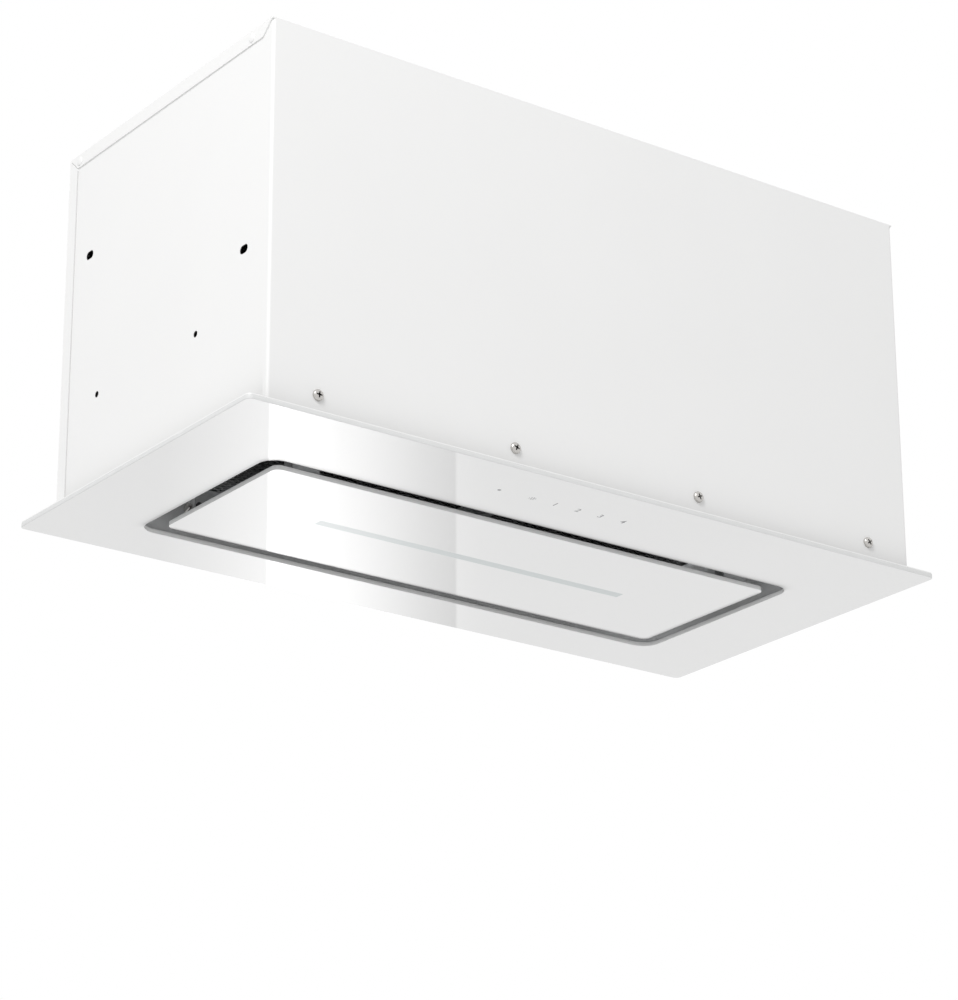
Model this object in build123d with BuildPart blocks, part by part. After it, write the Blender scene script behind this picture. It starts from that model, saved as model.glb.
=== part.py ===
"""Built-in ceiling range hood with a perimeter suction panel.

A folded sheet steel casing hangs in the ceiling. Its white glass face overlaps the cut-out
and holds a hinged glass panel, flush with it, with an open gap all round. Behind the panel
are two grease filters, and above them a double inlet blower feeds a round outlet collar.

Millimetres. The origin is the centre of the glass face's underside, +X runs along the hood,
-Y is the front with the touch keys, and +Z points up.
"""

import os
from math import atan2, cos, degrees, radians, sin

from build123d import *

os.makedirs("parts", exist_ok=True)

# ---------------------------------------------------------------- driving dimensions

# Glass face
face_length = 700.0
face_depth = 348.0
face_corner_radius = 5.0
glass_thickness = 4.0
glass_edge_break = 0.5
opening_margin_side = 80.5
opening_margin_front = 94.6
opening_margin_rear = 54.7
opening_corner_radius = 16.0

# Steel tray behind the glass face, and the collar welded to it
tray_sheet = 0.8
tray_inset = 0.4
collar_height = 32.0
collar_clearance = 0.2
collar_corner_radius = 4.0

# Casing
casing_top_z = 332.0
rim_side = 22.0
rim_front = 9.0
rim_rear = 23.0
casing_sheet = 1.0
casing_bend_radius = 2.5
top_flange = 12.0
back_flange = 12.8
flange_relief = 14.0
mitre_slit = 0.6
front_lip = 14.0

# Holes in the end walls, as (y, z)
side_hole_radius = 2.7
side_hole_spacing = 152.3
side_hole_centre_y = 16.5
side_hole_z = 97.2
side_slot_length = 11.0
side_slot_width = 7.2
side_slots = [(113.0, 230.0), (-128.2, 144.8)]
rivet_head_radius = 3.8
rivet_head_height = 1.0
rivet_shank_radius = 1.6
rivet_inset_front = 29.8
rivet_inset_rear = 16.3
rivet_drop = 6.6

# Face screws
face_screw_spacing = 188.0
face_screw_count = 4
face_screw_z = 20.9
screw_head_radius = 4.7
screw_head_height = 2.8
screw_shank_radius = 2.0
screw_shank_length = 8.0
screw_cross = 5.2
screw_hole_clearance = 0.2
nut_height = 3.2
nut_radius = 4.2

# Smaller screws inside, and the gap of a screw in its pilot hole
small_head_radius = 3.2
small_head_height = 2.2
small_shank_radius = 1.6
pilot_clearance = 0.1

# Suction panel
panel_gap_side = 16.3
panel_gap_front = 16.2
panel_gap_rear = 17.4
panel_corner_radius = 7.0
panel_tray_inset = 17.0
panel_tray_front_inset = 30.0
panel_tray_height = 12.0
panel_tray_corner_radius = 6.0

# Panel hinge: the pins lie on one line along X
hinge_y = 80.5
hinge_z = 12.0
hinge_pin_radius = 3.0
hinge_running_clearance = 0.06
hinge_ear_radius = 7.0
hinge_head_radius = 4.6
hinge_head_height = 3.0
hinge_pin_tail = 3.0
hinge_ear_gap = 6.0
hinge_head_gap = 1.2
bracket_sheet = 1.5
bracket_flange_z = 25.5
bracket_upstand = 14.0

# Panel catches
catch_inset = 17.5
catch_width = 26.0
catch_depth = 13.0
catch_setback = 2.4
catch_air_gap = 0.5
pole_plate = 0.8
pole_groove_width = 2.4
pole_groove_depth = 1.5
catch_top_z = 20.0
catch_upstand = 16.0
striker_sheet = 0.8

# Light strip
light_length = 316.5
light_width = 10.0
light_clearance = 0.4
light_housing_height = 13.0
light_housing_wall = 1.5
light_lens_height = 3.6
light_lens_flange = 3.0
light_lens_flange_thickness = 1.2
light_housing_end = 9.0
light_housing_side = 7.0
light_count = 24
light_chip = 3.0
light_chip_height = 0.9

# Recess and filters
liner_sheet = 0.8
liner_step = 3.0
liner_foot = 8.0
deck_z = 52.0
deck_sheet = 1.0
deck_overlap = 6.0
deck_rib_height = 8.0
filter_bar_half = 9.0
filter_margin_side = 31.0
filter_margin_front = 37.15
filter_margin_rear = 6.35
filter_corner_radius = 3.0
filter_window_corner = 4.0
filter_thickness = 9.0
filter_seat_gap = 0.3
filter_lip = 8.0
filter_sheet = 1.0
filter_columns = 11
filter_rows = 13
face_sheet = 0.8
mesh_gap = 0.1
opening_share = 0.42
layer_count = 5
layer_thickness = 0.6
clip_width = 14.0
clip_thickness = 0.6
clip_side_gap = 0.3
clip_foot = 6.0
clip_shoulder = 2.2
clip_drop = 4.0
handle_width = 46.0
handle_drop = 7.0
handle_reach = 22.0
handle_sheet = 1.0

# Blower
shaft_drop = 142.0
shaft_radius = 4.0
shaft_fit = 0.02
impeller_radius = 70.0
impeller_half_width = 60.0
wheel_sheet = 2.0
hub_radius = 11.0
hub_length = 22.0
blade_count = 36
blade_thickness = 1.3
blade_radius = 12.0
blade_span = 13.0
blade_lead = 3.4
blade_margin = 0.6
scroll_gap = 12.0
scroll_step = 9.0
scroll_side_gap = 5.0
scroll_wall = 2.2
scroll_lip = 3.0
scroll_lip_thickness = 2.5
ear_angles = [40, -20, -80, -140]
outlet_width = 96.0
tongue_radius = 6.0
inlet_step = 2.0
inlet_flare = 6.0
inlet_dip = 1.5
motor_air_gap = 14.0
motor_start_x = 14.0
motor_boss = 5.0
motor_screw_circle = 20.0
motor_screw_depth = 6.0
bearing_radius = 8.0
bearing_width = 5.0
seat_clearance = 0.05
bush_height = 6.0
bush_radius = 6.5
bush_waist_radius = 5.0
bush_bore_radius = 1.9
bush_reach = 8.0
bracket_plate = 2.0
bracket_hub_radius = 28.0
arm_width = 15.0

# Outlet collar and its dampers
outlet_y = -7.0
outlet_radius = 75.0
outlet_wall = 2.5
outlet_height = 45.0
outlet_base_margin = 11.0
outlet_base_corner = 8.0
outlet_base_thickness = 3.0
outlet_screw_margin = 2.0
outlet_screw_length = 10.0
outlet_hole_clearance = 0.5
flange_margin = 8.0
damper_height = 12.0
damper_side_gap = 0.6
damper_seat_gap = 0.3
seat_ring = 2.0
seat_thickness = 1.6
knuckle_length = 16.0
knuckle_gap = 0.4
damper_pin_radius = 1.5
damper_knuckle_radius = 3.0
damper_thickness = 1.5
damper_running_clearance = 0.08

# Electrical pieces
power_box_length = 180.0
power_box_depth = 110.0
power_box_height = 40.0
power_box_side_gap = 37.0
power_box_y = -40.0
power_box_wall = 2.0
power_box_corner = 4.0
lid_thickness = 2.0
boss_radius = 4.0
boss_hole_radius = 1.6
boss_hole_depth = 14.0
board_thickness = 1.6
board_height = 8.0
board_clearance = 0.5
capacitor_radius = 17.5
capacitor_length = 70.0
capacitor_x = 130.0
capacitor_y = -25.0
strap_wall = 1.4
strap_width = 20.0
strap_ear = 11.0
driver_length = 120.0
driver_depth = 38.0
driver_height = 24.0
driver_corner = 4.0
driver_ear = 16.0
driver_ear_thickness = 2.0
driver_x = 240.0
driver_y = -10.0
grommet_x = -230.0
grommet_y = 90.0
grommet_flange = 3.5
grommet_collar = 3.5
grommet_bore_radius = 4.0
grommet_neck_radius = 7.5
touch_key_x = [-80.0, -46.6, -23.3, 0.0, 23.3, 46.6]
touch_key_setback = 46.7
touch_ring_radius = 5.0
touch_ring_bore = 3.4
touch_window_depth = 26.0
touch_window_margin = 12.0
touch_window_corner = 3.0
touch_board_height = 6.0
carrier_margin = 6.0
carrier_wall = 2.0
carrier_rim = 4.0

# ---------------------------------------------------------------- places worked out from them

opening_length = face_length - 2 * opening_margin_side
opening_depth = face_depth - opening_margin_front - opening_margin_rear
opening_centre_y = (opening_margin_front - opening_margin_rear) / 2
casing_length = face_length - 2 * rim_side
casing_depth = face_depth - rim_front - rim_rear
casing_centre_y = (rim_front - rim_rear) / 2

tray_top_z = glass_thickness + tray_sheet
casing_front_y = casing_centre_y - casing_depth / 2
casing_back_y = casing_centre_y + casing_depth / 2
top_underside_z = casing_top_z - casing_sheet

panel_length = opening_length - 2 * panel_gap_side
panel_front_y = opening_centre_y - opening_depth / 2 + panel_gap_front
panel_rear_y = opening_centre_y + opening_depth / 2 - panel_gap_rear
panel_depth = panel_rear_y - panel_front_y
panel_centre_y = (panel_front_y + panel_rear_y) / 2

liner_length = opening_length + 2 * liner_step
liner_depth = opening_depth + 2 * liner_step
liner_corner_radius = opening_corner_radius + liner_step
liner_front_y = opening_centre_y - liner_depth / 2

panel_tray_x = panel_length / 2 - panel_tray_inset
bracket_ear_x = panel_tray_x + hinge_ear_gap
liner_wall_x = liner_length / 2

filter_outer_x = opening_length / 2 - filter_margin_side
filter_front_y = opening_centre_y - opening_depth / 2 + filter_margin_front
filter_rear_y = opening_centre_y + opening_depth / 2 - filter_margin_rear

# The blower's outlet channel lies under the collar, and the shaft behind it
impeller_inner_radius = impeller_radius - blade_span
scroll_start_radius = impeller_radius + scroll_gap
scroll_half_width = impeller_half_width + scroll_side_gap
inlet_throat_radius = impeller_inner_radius - inlet_step
inlet_mouth_radius = inlet_throat_radius + inlet_flare
motor_radius = impeller_inner_radius - motor_air_gap
bush_circle_radius = inlet_mouth_radius + bush_reach
channel_outer = -(scroll_start_radius + 2.5 * scroll_step)
channel_inner = channel_outer + outlet_width
shaft_y = outlet_y - (channel_outer + channel_inner) / 2
shaft_z = casing_top_z - shaft_drop

outlet_top_z = casing_top_z + outlet_height
outlet_screw_reach = outlet_radius + outlet_screw_margin
outlet_base = 2 * (outlet_screw_reach + outlet_base_margin)
damper_z = casing_top_z + damper_height

power_box_x = -(casing_length / 2 - casing_sheet - power_box_side_gap - power_box_length / 2)
touch_key_y = -face_depth / 2 + touch_key_setback
touch_board_z = tray_top_z + touch_board_height

side_wall_planes = [
    Plane(origin=(side * casing_length / 2, 0, 0), x_dir=(0, side, 0), z_dir=(side, 0, 0))
    for side in (-1, 1)
]
face_screw_x = [
    (index - (face_screw_count - 1) / 2) * face_screw_spacing for index in range(face_screw_count)
]


def along_x(x, y, z, side=1):
    """Plane whose normal points along X, outwards on the given side."""
    return Plane(origin=(x, y, z), x_dir=(0, 1, 0), z_dir=(side, 0, 0))


def pan_head(head_radius, head_height, shank_radius, length, cross=0.0):
    """Screw with its head standing on the XY plane and its shank hanging below it."""
    with BuildPart() as screw:
        with BuildSketch():
            Circle(head_radius)
        extrude(amount=head_height)
        fillet(edges().group_by(Axis.Z)[-1], head_height * 0.7)
        with BuildSketch():
            Circle(shank_radius)
        extrude(amount=-length)
        # Cross recess
        if cross:
            with BuildSketch(Plane.XY.offset(head_height)):
                Rectangle(cross, cross * 0.24)
                Rectangle(cross * 0.24, cross)
            extrude(amount=-head_height * 0.6, mode=Mode.SUBTRACT)
    return screw.part


# ================================================================ casing

# Front wall and both end walls are one sheet with a rounded bend at each front corner.
with BuildPart() as casing_wrap:
    with BuildSketch(Plane.XY.offset(tray_top_z)):
        wrap_depth = casing_depth - casing_sheet
        with Locations((0, casing_front_y + wrap_depth / 2)):
            Rectangle(casing_length, wrap_depth)
        fillet(vertices().group_by(Axis.Y)[0], casing_bend_radius)
    extrude(amount=top_underside_z - tray_top_z)
    with BuildSketch(Plane.XY.offset(tray_top_z)):
        with Locations((0, casing_front_y + casing_sheet + wrap_depth / 2)):
            Rectangle(casing_length - 2 * casing_sheet, wrap_depth)
        fillet(vertices().group_by(Axis.Y)[0], casing_bend_radius - casing_sheet)
    extrude(amount=top_underside_z - tray_top_z, mode=Mode.SUBTRACT)
    # The top corner at the back clears the bend of the other sheet
    fillet(edges().filter_by(Axis.X).group_by(Axis.Z)[-1].group_by(Axis.Y)[-1], casing_bend_radius)
    # Lip folded back under the top sheet
    with BuildSketch(Plane.XY.offset(top_underside_z)):
        with Locations((0, casing_front_y + front_lip / 2)):
            Rectangle(casing_length - 4 * casing_bend_radius, front_lip)
    extrude(amount=-casing_sheet)
    # Fixing holes and slots in the end walls
    for wall in side_wall_planes:
        side = wall.x_dir.Y
        with BuildSketch(wall):
            for end in (-1, 1):
                with Locations((side * (side_hole_centre_y + end * side_hole_spacing / 2), side_hole_z)):
                    Circle(side_hole_radius)
            for slot_y, slot_z in side_slots:
                with Locations((side * slot_y, slot_z)):
                    SlotOverall(side_slot_length, side_slot_width)
            for rivet_y in (casing_front_y + rivet_inset_front, casing_back_y - rivet_inset_rear):
                with Locations((side * rivet_y, casing_top_z - rivet_drop)):
                    Circle(rivet_shank_radius)
        extrude(amount=-casing_sheet, mode=Mode.SUBTRACT)
    # Screw holes in the front wall
    with BuildSketch(Plane.XZ.offset(-casing_front_y)):
        with Locations(*[(x, face_screw_z) for x in face_screw_x]):
            Circle(screw_shank_radius + screw_hole_clearance)
    extrude(amount=-casing_sheet, mode=Mode.SUBTRACT)
casing_wrap.part.label = "casing_wrap"
export_step(casing_wrap.part, "parts/casing_wrap.step")

# Top and back are one sheet. Its side flanges lap the end walls and meet in a mitre.
flange_face_x = casing_length / 2 + casing_sheet
mitre_start = Vector(casing_back_y - back_flange - 1, casing_top_z - top_flange - 1)
mitre_end = Vector(casing_back_y - casing_bend_radius, casing_top_z - casing_bend_radius)
mitre_run = mitre_end - mitre_start
mitre_middle = (mitre_start + mitre_end) / 2
mitre_angle = degrees(atan2(mitre_run.Y, mitre_run.X))
with BuildPart() as casing_back_top:
    with BuildSketch(Plane.YZ.offset(-flange_face_x)):
        with BuildLine():
            Polyline(
                (casing_front_y, top_underside_z),
                (casing_front_y, casing_top_z),
                (casing_back_y, casing_top_z),
                (casing_back_y, tray_top_z),
                (casing_back_y - casing_sheet, tray_top_z),
                (casing_back_y - casing_sheet, top_underside_z),
                close=True,
            )
        make_face()
        fillet(vertices().sort_by(lambda v: v.X + v.Y)[-1], casing_bend_radius)
        fillet(
            vertices().sort_by_distance((casing_back_y - casing_sheet, top_underside_z))[0],
            casing_bend_radius - casing_sheet,
        )
    extrude(amount=2 * flange_face_x)
    for side in (-1, 1):
        with BuildSketch(Plane.YZ.offset(side * casing_length / 2)):
            with BuildLine():
                Polyline(
                    (casing_front_y, casing_top_z),
                    (casing_front_y + flange_relief, casing_top_z - top_flange),
                    (casing_back_y - back_flange, casing_top_z - top_flange),
                    (casing_back_y - back_flange, tray_top_z),
                    (casing_back_y, tray_top_z),
                    (casing_back_y, casing_top_z),
                    close=True,
                )
            make_face()
            fillet(vertices().sort_by(lambda v: v.X + v.Y)[-1], casing_bend_radius)
            # Mitre slit between the two flanges, up to the bend
            with Locations(Location((mitre_middle.X, mitre_middle.Y), mitre_angle)):
                Rectangle(mitre_run.length, mitre_slit, mode=Mode.SUBTRACT)
            for rivet_y in (casing_front_y + rivet_inset_front, casing_back_y - rivet_inset_rear):
                with Locations((rivet_y, casing_top_z - rivet_drop)):
                    Circle(rivet_shank_radius, mode=Mode.SUBTRACT)
        extrude(amount=side * casing_sheet)
    # Outlet, its screws and the cable hole
    with BuildSketch(Plane.XY.offset(casing_top_z)):
        with Locations((0, outlet_y)):
            Circle(outlet_radius + outlet_hole_clearance)
            with GridLocations(2 * outlet_screw_reach, 2 * outlet_screw_reach, 2, 2):
                Circle(screw_shank_radius + screw_hole_clearance)
        with Locations((grommet_x, grommet_y)):
            Circle(grommet_neck_radius)
    extrude(amount=-casing_sheet, mode=Mode.SUBTRACT)
    with BuildSketch(Plane.XZ.offset(-casing_back_y)):
        with Locations(*[(x, face_screw_z) for x in face_screw_x]):
            Circle(screw_shank_radius + screw_hole_clearance)
    extrude(amount=casing_sheet, mode=Mode.SUBTRACT)
casing_back_top.part.label = "casing_back_top"
export_step(casing_back_top.part, "parts/casing_back_top.step")

rivet = pan_head(rivet_head_radius, rivet_head_height, rivet_shank_radius, 2 * casing_sheet)
with BuildPart() as casing_rivets:
    for side in (-1, 1):
        for rivet_y in (casing_front_y + rivet_inset_front, casing_back_y - rivet_inset_rear):
            with Locations(along_x(side * flange_face_x, rivet_y, casing_top_z - rivet_drop, side)):
                add(rivet)
casing_rivets.part.label = "casing_rivets"
export_step(casing_rivets.part, "parts/casing_rivets.step")

# ================================================================ face

with BuildPart() as face_glass:
    with BuildSketch():
        RectangleRounded(face_length, face_depth, face_corner_radius)
        with Locations((0, opening_centre_y)):
            RectangleRounded(opening_length, opening_depth, opening_corner_radius, mode=Mode.SUBTRACT)
    extrude(amount=glass_thickness)
    chamfer(faces().sort_by(Axis.Z)[0].edges(), glass_edge_break)
face_glass.part.label = "face_glass"
export_step(face_glass.part, "parts/face_glass.step")

# The tray is a flat plate glued to the glass
touch_window_length = touch_key_x[-1] - touch_key_x[0] + 2 * touch_window_margin
touch_centre_x = (touch_key_x[0] + touch_key_x[-1]) / 2
with BuildPart() as face_tray:
    with BuildSketch(Plane.XY.offset(glass_thickness)):
        RectangleRounded(
            face_length - 2 * tray_inset, face_depth - 2 * tray_inset, face_corner_radius - tray_inset
        )
        with Locations((0, opening_centre_y)):
            RectangleRounded(liner_length, liner_depth, liner_corner_radius, mode=Mode.SUBTRACT)
        with Locations((touch_centre_x, touch_key_y)):
            RectangleRounded(
                touch_window_length, touch_window_depth, touch_window_corner, mode=Mode.SUBTRACT
            )
    extrude(amount=tray_sheet)
face_tray.part.label = "face_tray"
export_step(face_tray.part, "parts/face_tray.step")

# The collar stands on the tray inside the casing walls, which are screwed to it
collar_length = casing_length - 2 * casing_sheet - 2 * collar_clearance
collar_depth = casing_depth - 2 * casing_sheet - 2 * collar_clearance
with BuildPart() as face_collar:
    with BuildSketch(Plane.XY.offset(tray_top_z)):
        with Locations((0, casing_centre_y)):
            RectangleRounded(collar_length, collar_depth, collar_corner_radius)
            RectangleRounded(
                collar_length - 2 * tray_sheet,
                collar_depth - 2 * tray_sheet,
                collar_corner_radius - tray_sheet,
                mode=Mode.SUBTRACT,
            )
    extrude(amount=collar_height)
    with BuildSketch(Plane.XZ.offset(-casing_front_y)):
        with Locations(*[(x, face_screw_z) for x in face_screw_x]):
            Circle(screw_shank_radius + screw_hole_clearance)
    extrude(amount=-casing_depth, mode=Mode.SUBTRACT)
face_collar.part.label = "face_collar"
export_step(face_collar.part, "parts/face_collar.step")

face_screw = pan_head(
    screw_head_radius, screw_head_height, screw_shank_radius, screw_shank_length, cross=screw_cross
)
wall_screw_planes = [
    Plane(origin=(x, y, face_screw_z), x_dir=(1, 0, 0), z_dir=(0, out, 0))
    for out, y in ((-1, casing_front_y), (1, casing_back_y))
    for x in face_screw_x
]
with BuildPart() as face_screws:
    with Locations(*wall_screw_planes):
        add(face_screw)
face_screws.part.label = "face_screws"
export_step(face_screws.part, "parts/face_screws.step")

nut_depth = casing_sheet + collar_clearance + tray_sheet
with BuildPart() as face_nuts:
    for plane in wall_screw_planes:
        with BuildSketch(plane.offset(-nut_depth)):
            RegularPolygon(nut_radius, 6)
            Circle(screw_shank_radius + pilot_clearance / 2, mode=Mode.SUBTRACT)
        extrude(amount=-nut_height)
face_nuts.part.label = "face_nuts"
export_step(face_nuts.part, "parts/face_nuts.step")

# ================================================================ recess and filters

with BuildPart() as recess_liner:
    with BuildSketch(Plane.XY.offset(tray_top_z)):
        with Locations((0, opening_centre_y)):
            RectangleRounded(
                liner_length + 2 * liner_foot, liner_depth + 2 * liner_foot, liner_corner_radius + liner_foot
            )
            RectangleRounded(liner_length, liner_depth, liner_corner_radius, mode=Mode.SUBTRACT)
    extrude(amount=liner_sheet)
    with BuildSketch(Plane.XY.offset(tray_top_z)):
        with Locations((0, opening_centre_y)):
            RectangleRounded(
                liner_length + 2 * liner_sheet,
                liner_depth + 2 * liner_sheet,
                liner_corner_radius + liner_sheet,
            )
            RectangleRounded(liner_length, liner_depth, liner_corner_radius, mode=Mode.SUBTRACT)
    extrude(amount=deck_z - tray_top_z)
recess_liner.part.label = "recess_liner"
export_step(recess_liner.part, "parts/recess_liner.step")

filter_length = filter_outer_x - filter_bar_half
filter_depth = filter_rear_y - filter_front_y
filter_centre_x = (filter_outer_x + filter_bar_half) / 2
filter_centre_y = (filter_front_y + filter_rear_y) / 2
filter_top_z = deck_z - filter_seat_gap
filter_bottom_z = filter_top_z - filter_thickness
with BuildPart() as filter_deck:
    with BuildSketch(Plane.XY.offset(deck_z)):
        with Locations((0, opening_centre_y)):
            RectangleRounded(
                liner_length + 2 * liner_sheet + 2 * deck_overlap,
                liner_depth + 2 * liner_sheet + 2 * deck_overlap,
                liner_corner_radius,
            )
        for side in (-1, 1):
            with Locations((side * filter_centre_x, filter_centre_y)):
                RectangleRounded(
                    filter_length - 2 * deck_overlap,
                    filter_depth - 2 * deck_overlap,
                    filter_window_corner,
                    mode=Mode.SUBTRACT,
                )
    extrude(amount=deck_sheet)
    # Stiffening rib folded up along the middle bar
    with BuildSketch(Plane.XY.offset(deck_z + deck_sheet)):
        with Locations((0, filter_centre_y)):
            Rectangle(2 * filter_bar_half - deck_overlap, filter_depth)
    extrude(amount=deck_rib_height)
    with BuildSketch(Plane.XY.offset(deck_z)):
        with Locations((0, filter_centre_y)):
            Rectangle(2 * filter_bar_half - deck_overlap - 2 * deck_sheet, filter_depth)
    extrude(amount=deck_rib_height, mode=Mode.SUBTRACT)
filter_deck.part.label = "filter_deck"
export_step(filter_deck.part, "parts/filter_deck.step")

# Leaf clips hang from the deck and grip the front and rear edge of each filter.
with BuildPart() as filter_clips:
    for side in (-1, 1):
        for edge_y, outwards in ((filter_front_y, -1), (filter_rear_y, 1)):
            with BuildSketch(Plane.YZ.offset(side * filter_centre_x - clip_width / 2)):
                with BuildLine():
                    inner_y = edge_y + outwards * clip_side_gap
                    Polyline(
                        (inner_y + outwards * clip_foot, deck_z - clip_thickness / 2),
                        (inner_y + outwards * clip_shoulder, deck_z - clip_thickness / 2),
                        (inner_y + outwards * clip_thickness / 2, deck_z - clip_drop),
                        (inner_y + outwards * clip_thickness / 2, filter_bottom_z + 1),
                        (inner_y + outwards * clip_shoulder, filter_bottom_z - 2),
                    )
                trace(line_width=clip_thickness)
            extrude(amount=clip_width)
filter_clips.part.label = "filter_clips"
export_step(filter_clips.part, "parts/filter_clips.step")

for side, hand in ((-1, "left"), (1, "right")):
    filter_middle = (side * filter_centre_x, filter_centre_y)
    cavity_length = filter_length - 2 * filter_sheet
    cavity_depth = filter_depth - 2 * filter_sheet
    cavity_corner = filter_corner_radius - filter_sheet

    # Channel section frame: a box with a cavity and a window in each face
    with BuildPart() as filter_frame:
        with BuildSketch(Plane.XY.offset(filter_bottom_z)):
            with Locations(filter_middle):
                RectangleRounded(filter_length, filter_depth, filter_corner_radius)
        extrude(amount=filter_thickness)
        with BuildSketch(Plane.XY.offset(filter_bottom_z + filter_sheet)):
            with Locations(filter_middle):
                RectangleRounded(cavity_length, cavity_depth, cavity_corner)
        extrude(amount=filter_thickness - 2 * filter_sheet, mode=Mode.SUBTRACT)
        with BuildSketch(Plane.XY.offset(filter_bottom_z)):
            with Locations(filter_middle):
                RectangleRounded(
                    filter_length - 2 * filter_lip, filter_depth - 2 * filter_lip, filter_window_corner
                )
        extrude(amount=filter_thickness, mode=Mode.SUBTRACT)
    filter_frame.part.label = f"filter_frame_{hand}"
    export_step(filter_frame.part, f"parts/filter_frame_{hand}.step")

    # Expanded metal face with staggered diamond openings
    pitch_x = (filter_length - 2 * filter_lip) / filter_columns
    pitch_y = (filter_depth - 2 * filter_lip) / filter_rows
    diamond = [
        (-opening_share * pitch_x, 0), (0, -opening_share * pitch_y),
        (opening_share * pitch_x, 0), (0, opening_share * pitch_y),
    ]
    with BuildPart() as filter_face:
        with BuildSketch(Plane.XY.offset(filter_bottom_z + filter_sheet)):
            with Locations(filter_middle):
                RectangleRounded(cavity_length - 2 * mesh_gap, cavity_depth - 2 * mesh_gap, cavity_corner)
                for row in range(filter_rows):
                    shift = 0 if row % 2 else 0.5
                    count = filter_columns - (0 if row % 2 else 1)
                    row_y = (row - (filter_rows - 1) / 2) * pitch_y
                    for column in range(count):
                        column_x = (column + shift + 0.5 - filter_columns / 2) * pitch_x
                        with Locations((column_x, row_y)):
                            Polygon(*diamond, mode=Mode.SUBTRACT)
        extrude(amount=face_sheet)
    filter_face.part.label = f"filter_face_{hand}"
    export_step(filter_face.part, f"parts/filter_face_{hand}.step")

    # Layers of mesh, evenly spaced between the face sheet and the frame's upper lip
    mesh_bottom_z = filter_bottom_z + filter_sheet + face_sheet
    mesh_top_z = filter_top_z - filter_sheet
    layer_pitch = (mesh_top_z - mesh_bottom_z - layer_thickness) / (layer_count - 1)
    with BuildPart() as filter_mesh:
        for layer in range(layer_count):
            with BuildSketch(Plane.XY.offset(mesh_bottom_z + layer * layer_pitch)):
                with Locations(filter_middle):
                    RectangleRounded(cavity_length - 2 * mesh_gap, cavity_depth - 2 * mesh_gap, cavity_corner)
            extrude(amount=layer_thickness)
    filter_mesh.part.label = f"filter_mesh_{hand}"
    export_step(filter_mesh.part, f"parts/filter_mesh_{hand}.step")

    # Folded pull tab riveted under the front rail
    with BuildPart() as filter_handle:
        with BuildSketch(Plane.YZ.offset(side * filter_centre_x - handle_width / 2)):
            with BuildLine():
                Polyline(
                    (filter_front_y + 1, filter_bottom_z - handle_sheet / 2),
                    (filter_front_y + 7, filter_bottom_z - handle_sheet / 2),
                    (filter_front_y + 12, filter_bottom_z - handle_drop),
                    (filter_front_y + handle_reach, filter_bottom_z - handle_drop),
                    (filter_front_y + handle_reach, filter_bottom_z - handle_drop + 3),
                )
            trace(line_width=handle_sheet)
        extrude(amount=handle_width)
    filter_handle.part.label = f"filter_handle_{hand}"
    export_step(filter_handle.part, f"parts/filter_handle_{hand}.step")

# ================================================================ suction panel

with BuildPart() as panel_glass:
    with BuildSketch():
        with Locations((0, panel_centre_y)):
            RectangleRounded(panel_length, panel_depth, panel_corner_radius)
    extrude(amount=glass_thickness)
    chamfer(faces().sort_by(Axis.Z)[0].edges(), glass_edge_break)
panel_glass.part.label = "panel_glass"
export_step(panel_glass.part, "parts/panel_glass.step")

# Folded tray glued to the glass, with a rounded hinge ear at each end
panel_tray_depth = panel_depth - panel_tray_inset - panel_tray_front_inset
panel_tray_centre_y = panel_rear_y - panel_tray_inset - panel_tray_depth / 2
light_slot = (light_length + 2 * light_clearance, light_width + 2 * light_clearance)
with BuildPart() as panel_tray:
    with BuildSketch(Plane.XY.offset(glass_thickness)):
        with Locations((0, panel_tray_centre_y)):
            RectangleRounded(2 * panel_tray_x, panel_tray_depth, panel_tray_corner_radius)
    extrude(amount=panel_tray_height)
    with BuildSketch(Plane.XY.offset(tray_top_z)):
        with Locations((0, panel_tray_centre_y)):
            RectangleRounded(
                2 * panel_tray_x - 2 * tray_sheet,
                panel_tray_depth - 2 * tray_sheet,
                panel_tray_corner_radius - tray_sheet,
            )
    extrude(amount=panel_tray_height, mode=Mode.SUBTRACT)
    for side in (-1, 1):
        with BuildSketch(Plane.YZ.offset(side * panel_tray_x)):
            with Locations((hinge_y, hinge_z)):
                Circle(hinge_ear_radius)
            with Locations((hinge_y, (tray_top_z + hinge_z) / 2)):
                Rectangle(2 * hinge_ear_radius, hinge_z - tray_top_z)
        extrude(amount=-side * tray_sheet)
        with BuildSketch(Plane.YZ.offset(side * panel_tray_x)):
            with Locations((hinge_y, hinge_z)):
                Circle(hinge_pin_radius + hinge_running_clearance)
        extrude(amount=-side * (hinge_pin_tail + tray_sheet), mode=Mode.SUBTRACT)
    with BuildSketch(Plane.XY.offset(glass_thickness)):
        with Locations((0, panel_centre_y)):
            Rectangle(*light_slot)
    extrude(amount=tray_sheet, mode=Mode.SUBTRACT)
panel_tray.part.label = "panel_tray"
export_step(panel_tray.part, "parts/panel_tray.step")

# Headed pins: the heads face outwards and show in the gap
pin_inner_x = panel_tray_x - hinge_pin_tail
pin_head_x = bracket_ear_x + bracket_sheet + hinge_head_gap
pin_length = pin_head_x - pin_inner_x
with BuildPart() as hinge_pins:
    for side in (-1, 1):
        with Locations(along_x(side * pin_head_x, hinge_y, hinge_z, side)):
            add(pan_head(hinge_head_radius, hinge_head_height, hinge_pin_radius, pin_length))
hinge_pins.part.label = "hinge_pins"
export_step(hinge_pins.part, "parts/hinge_pins.step")

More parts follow.
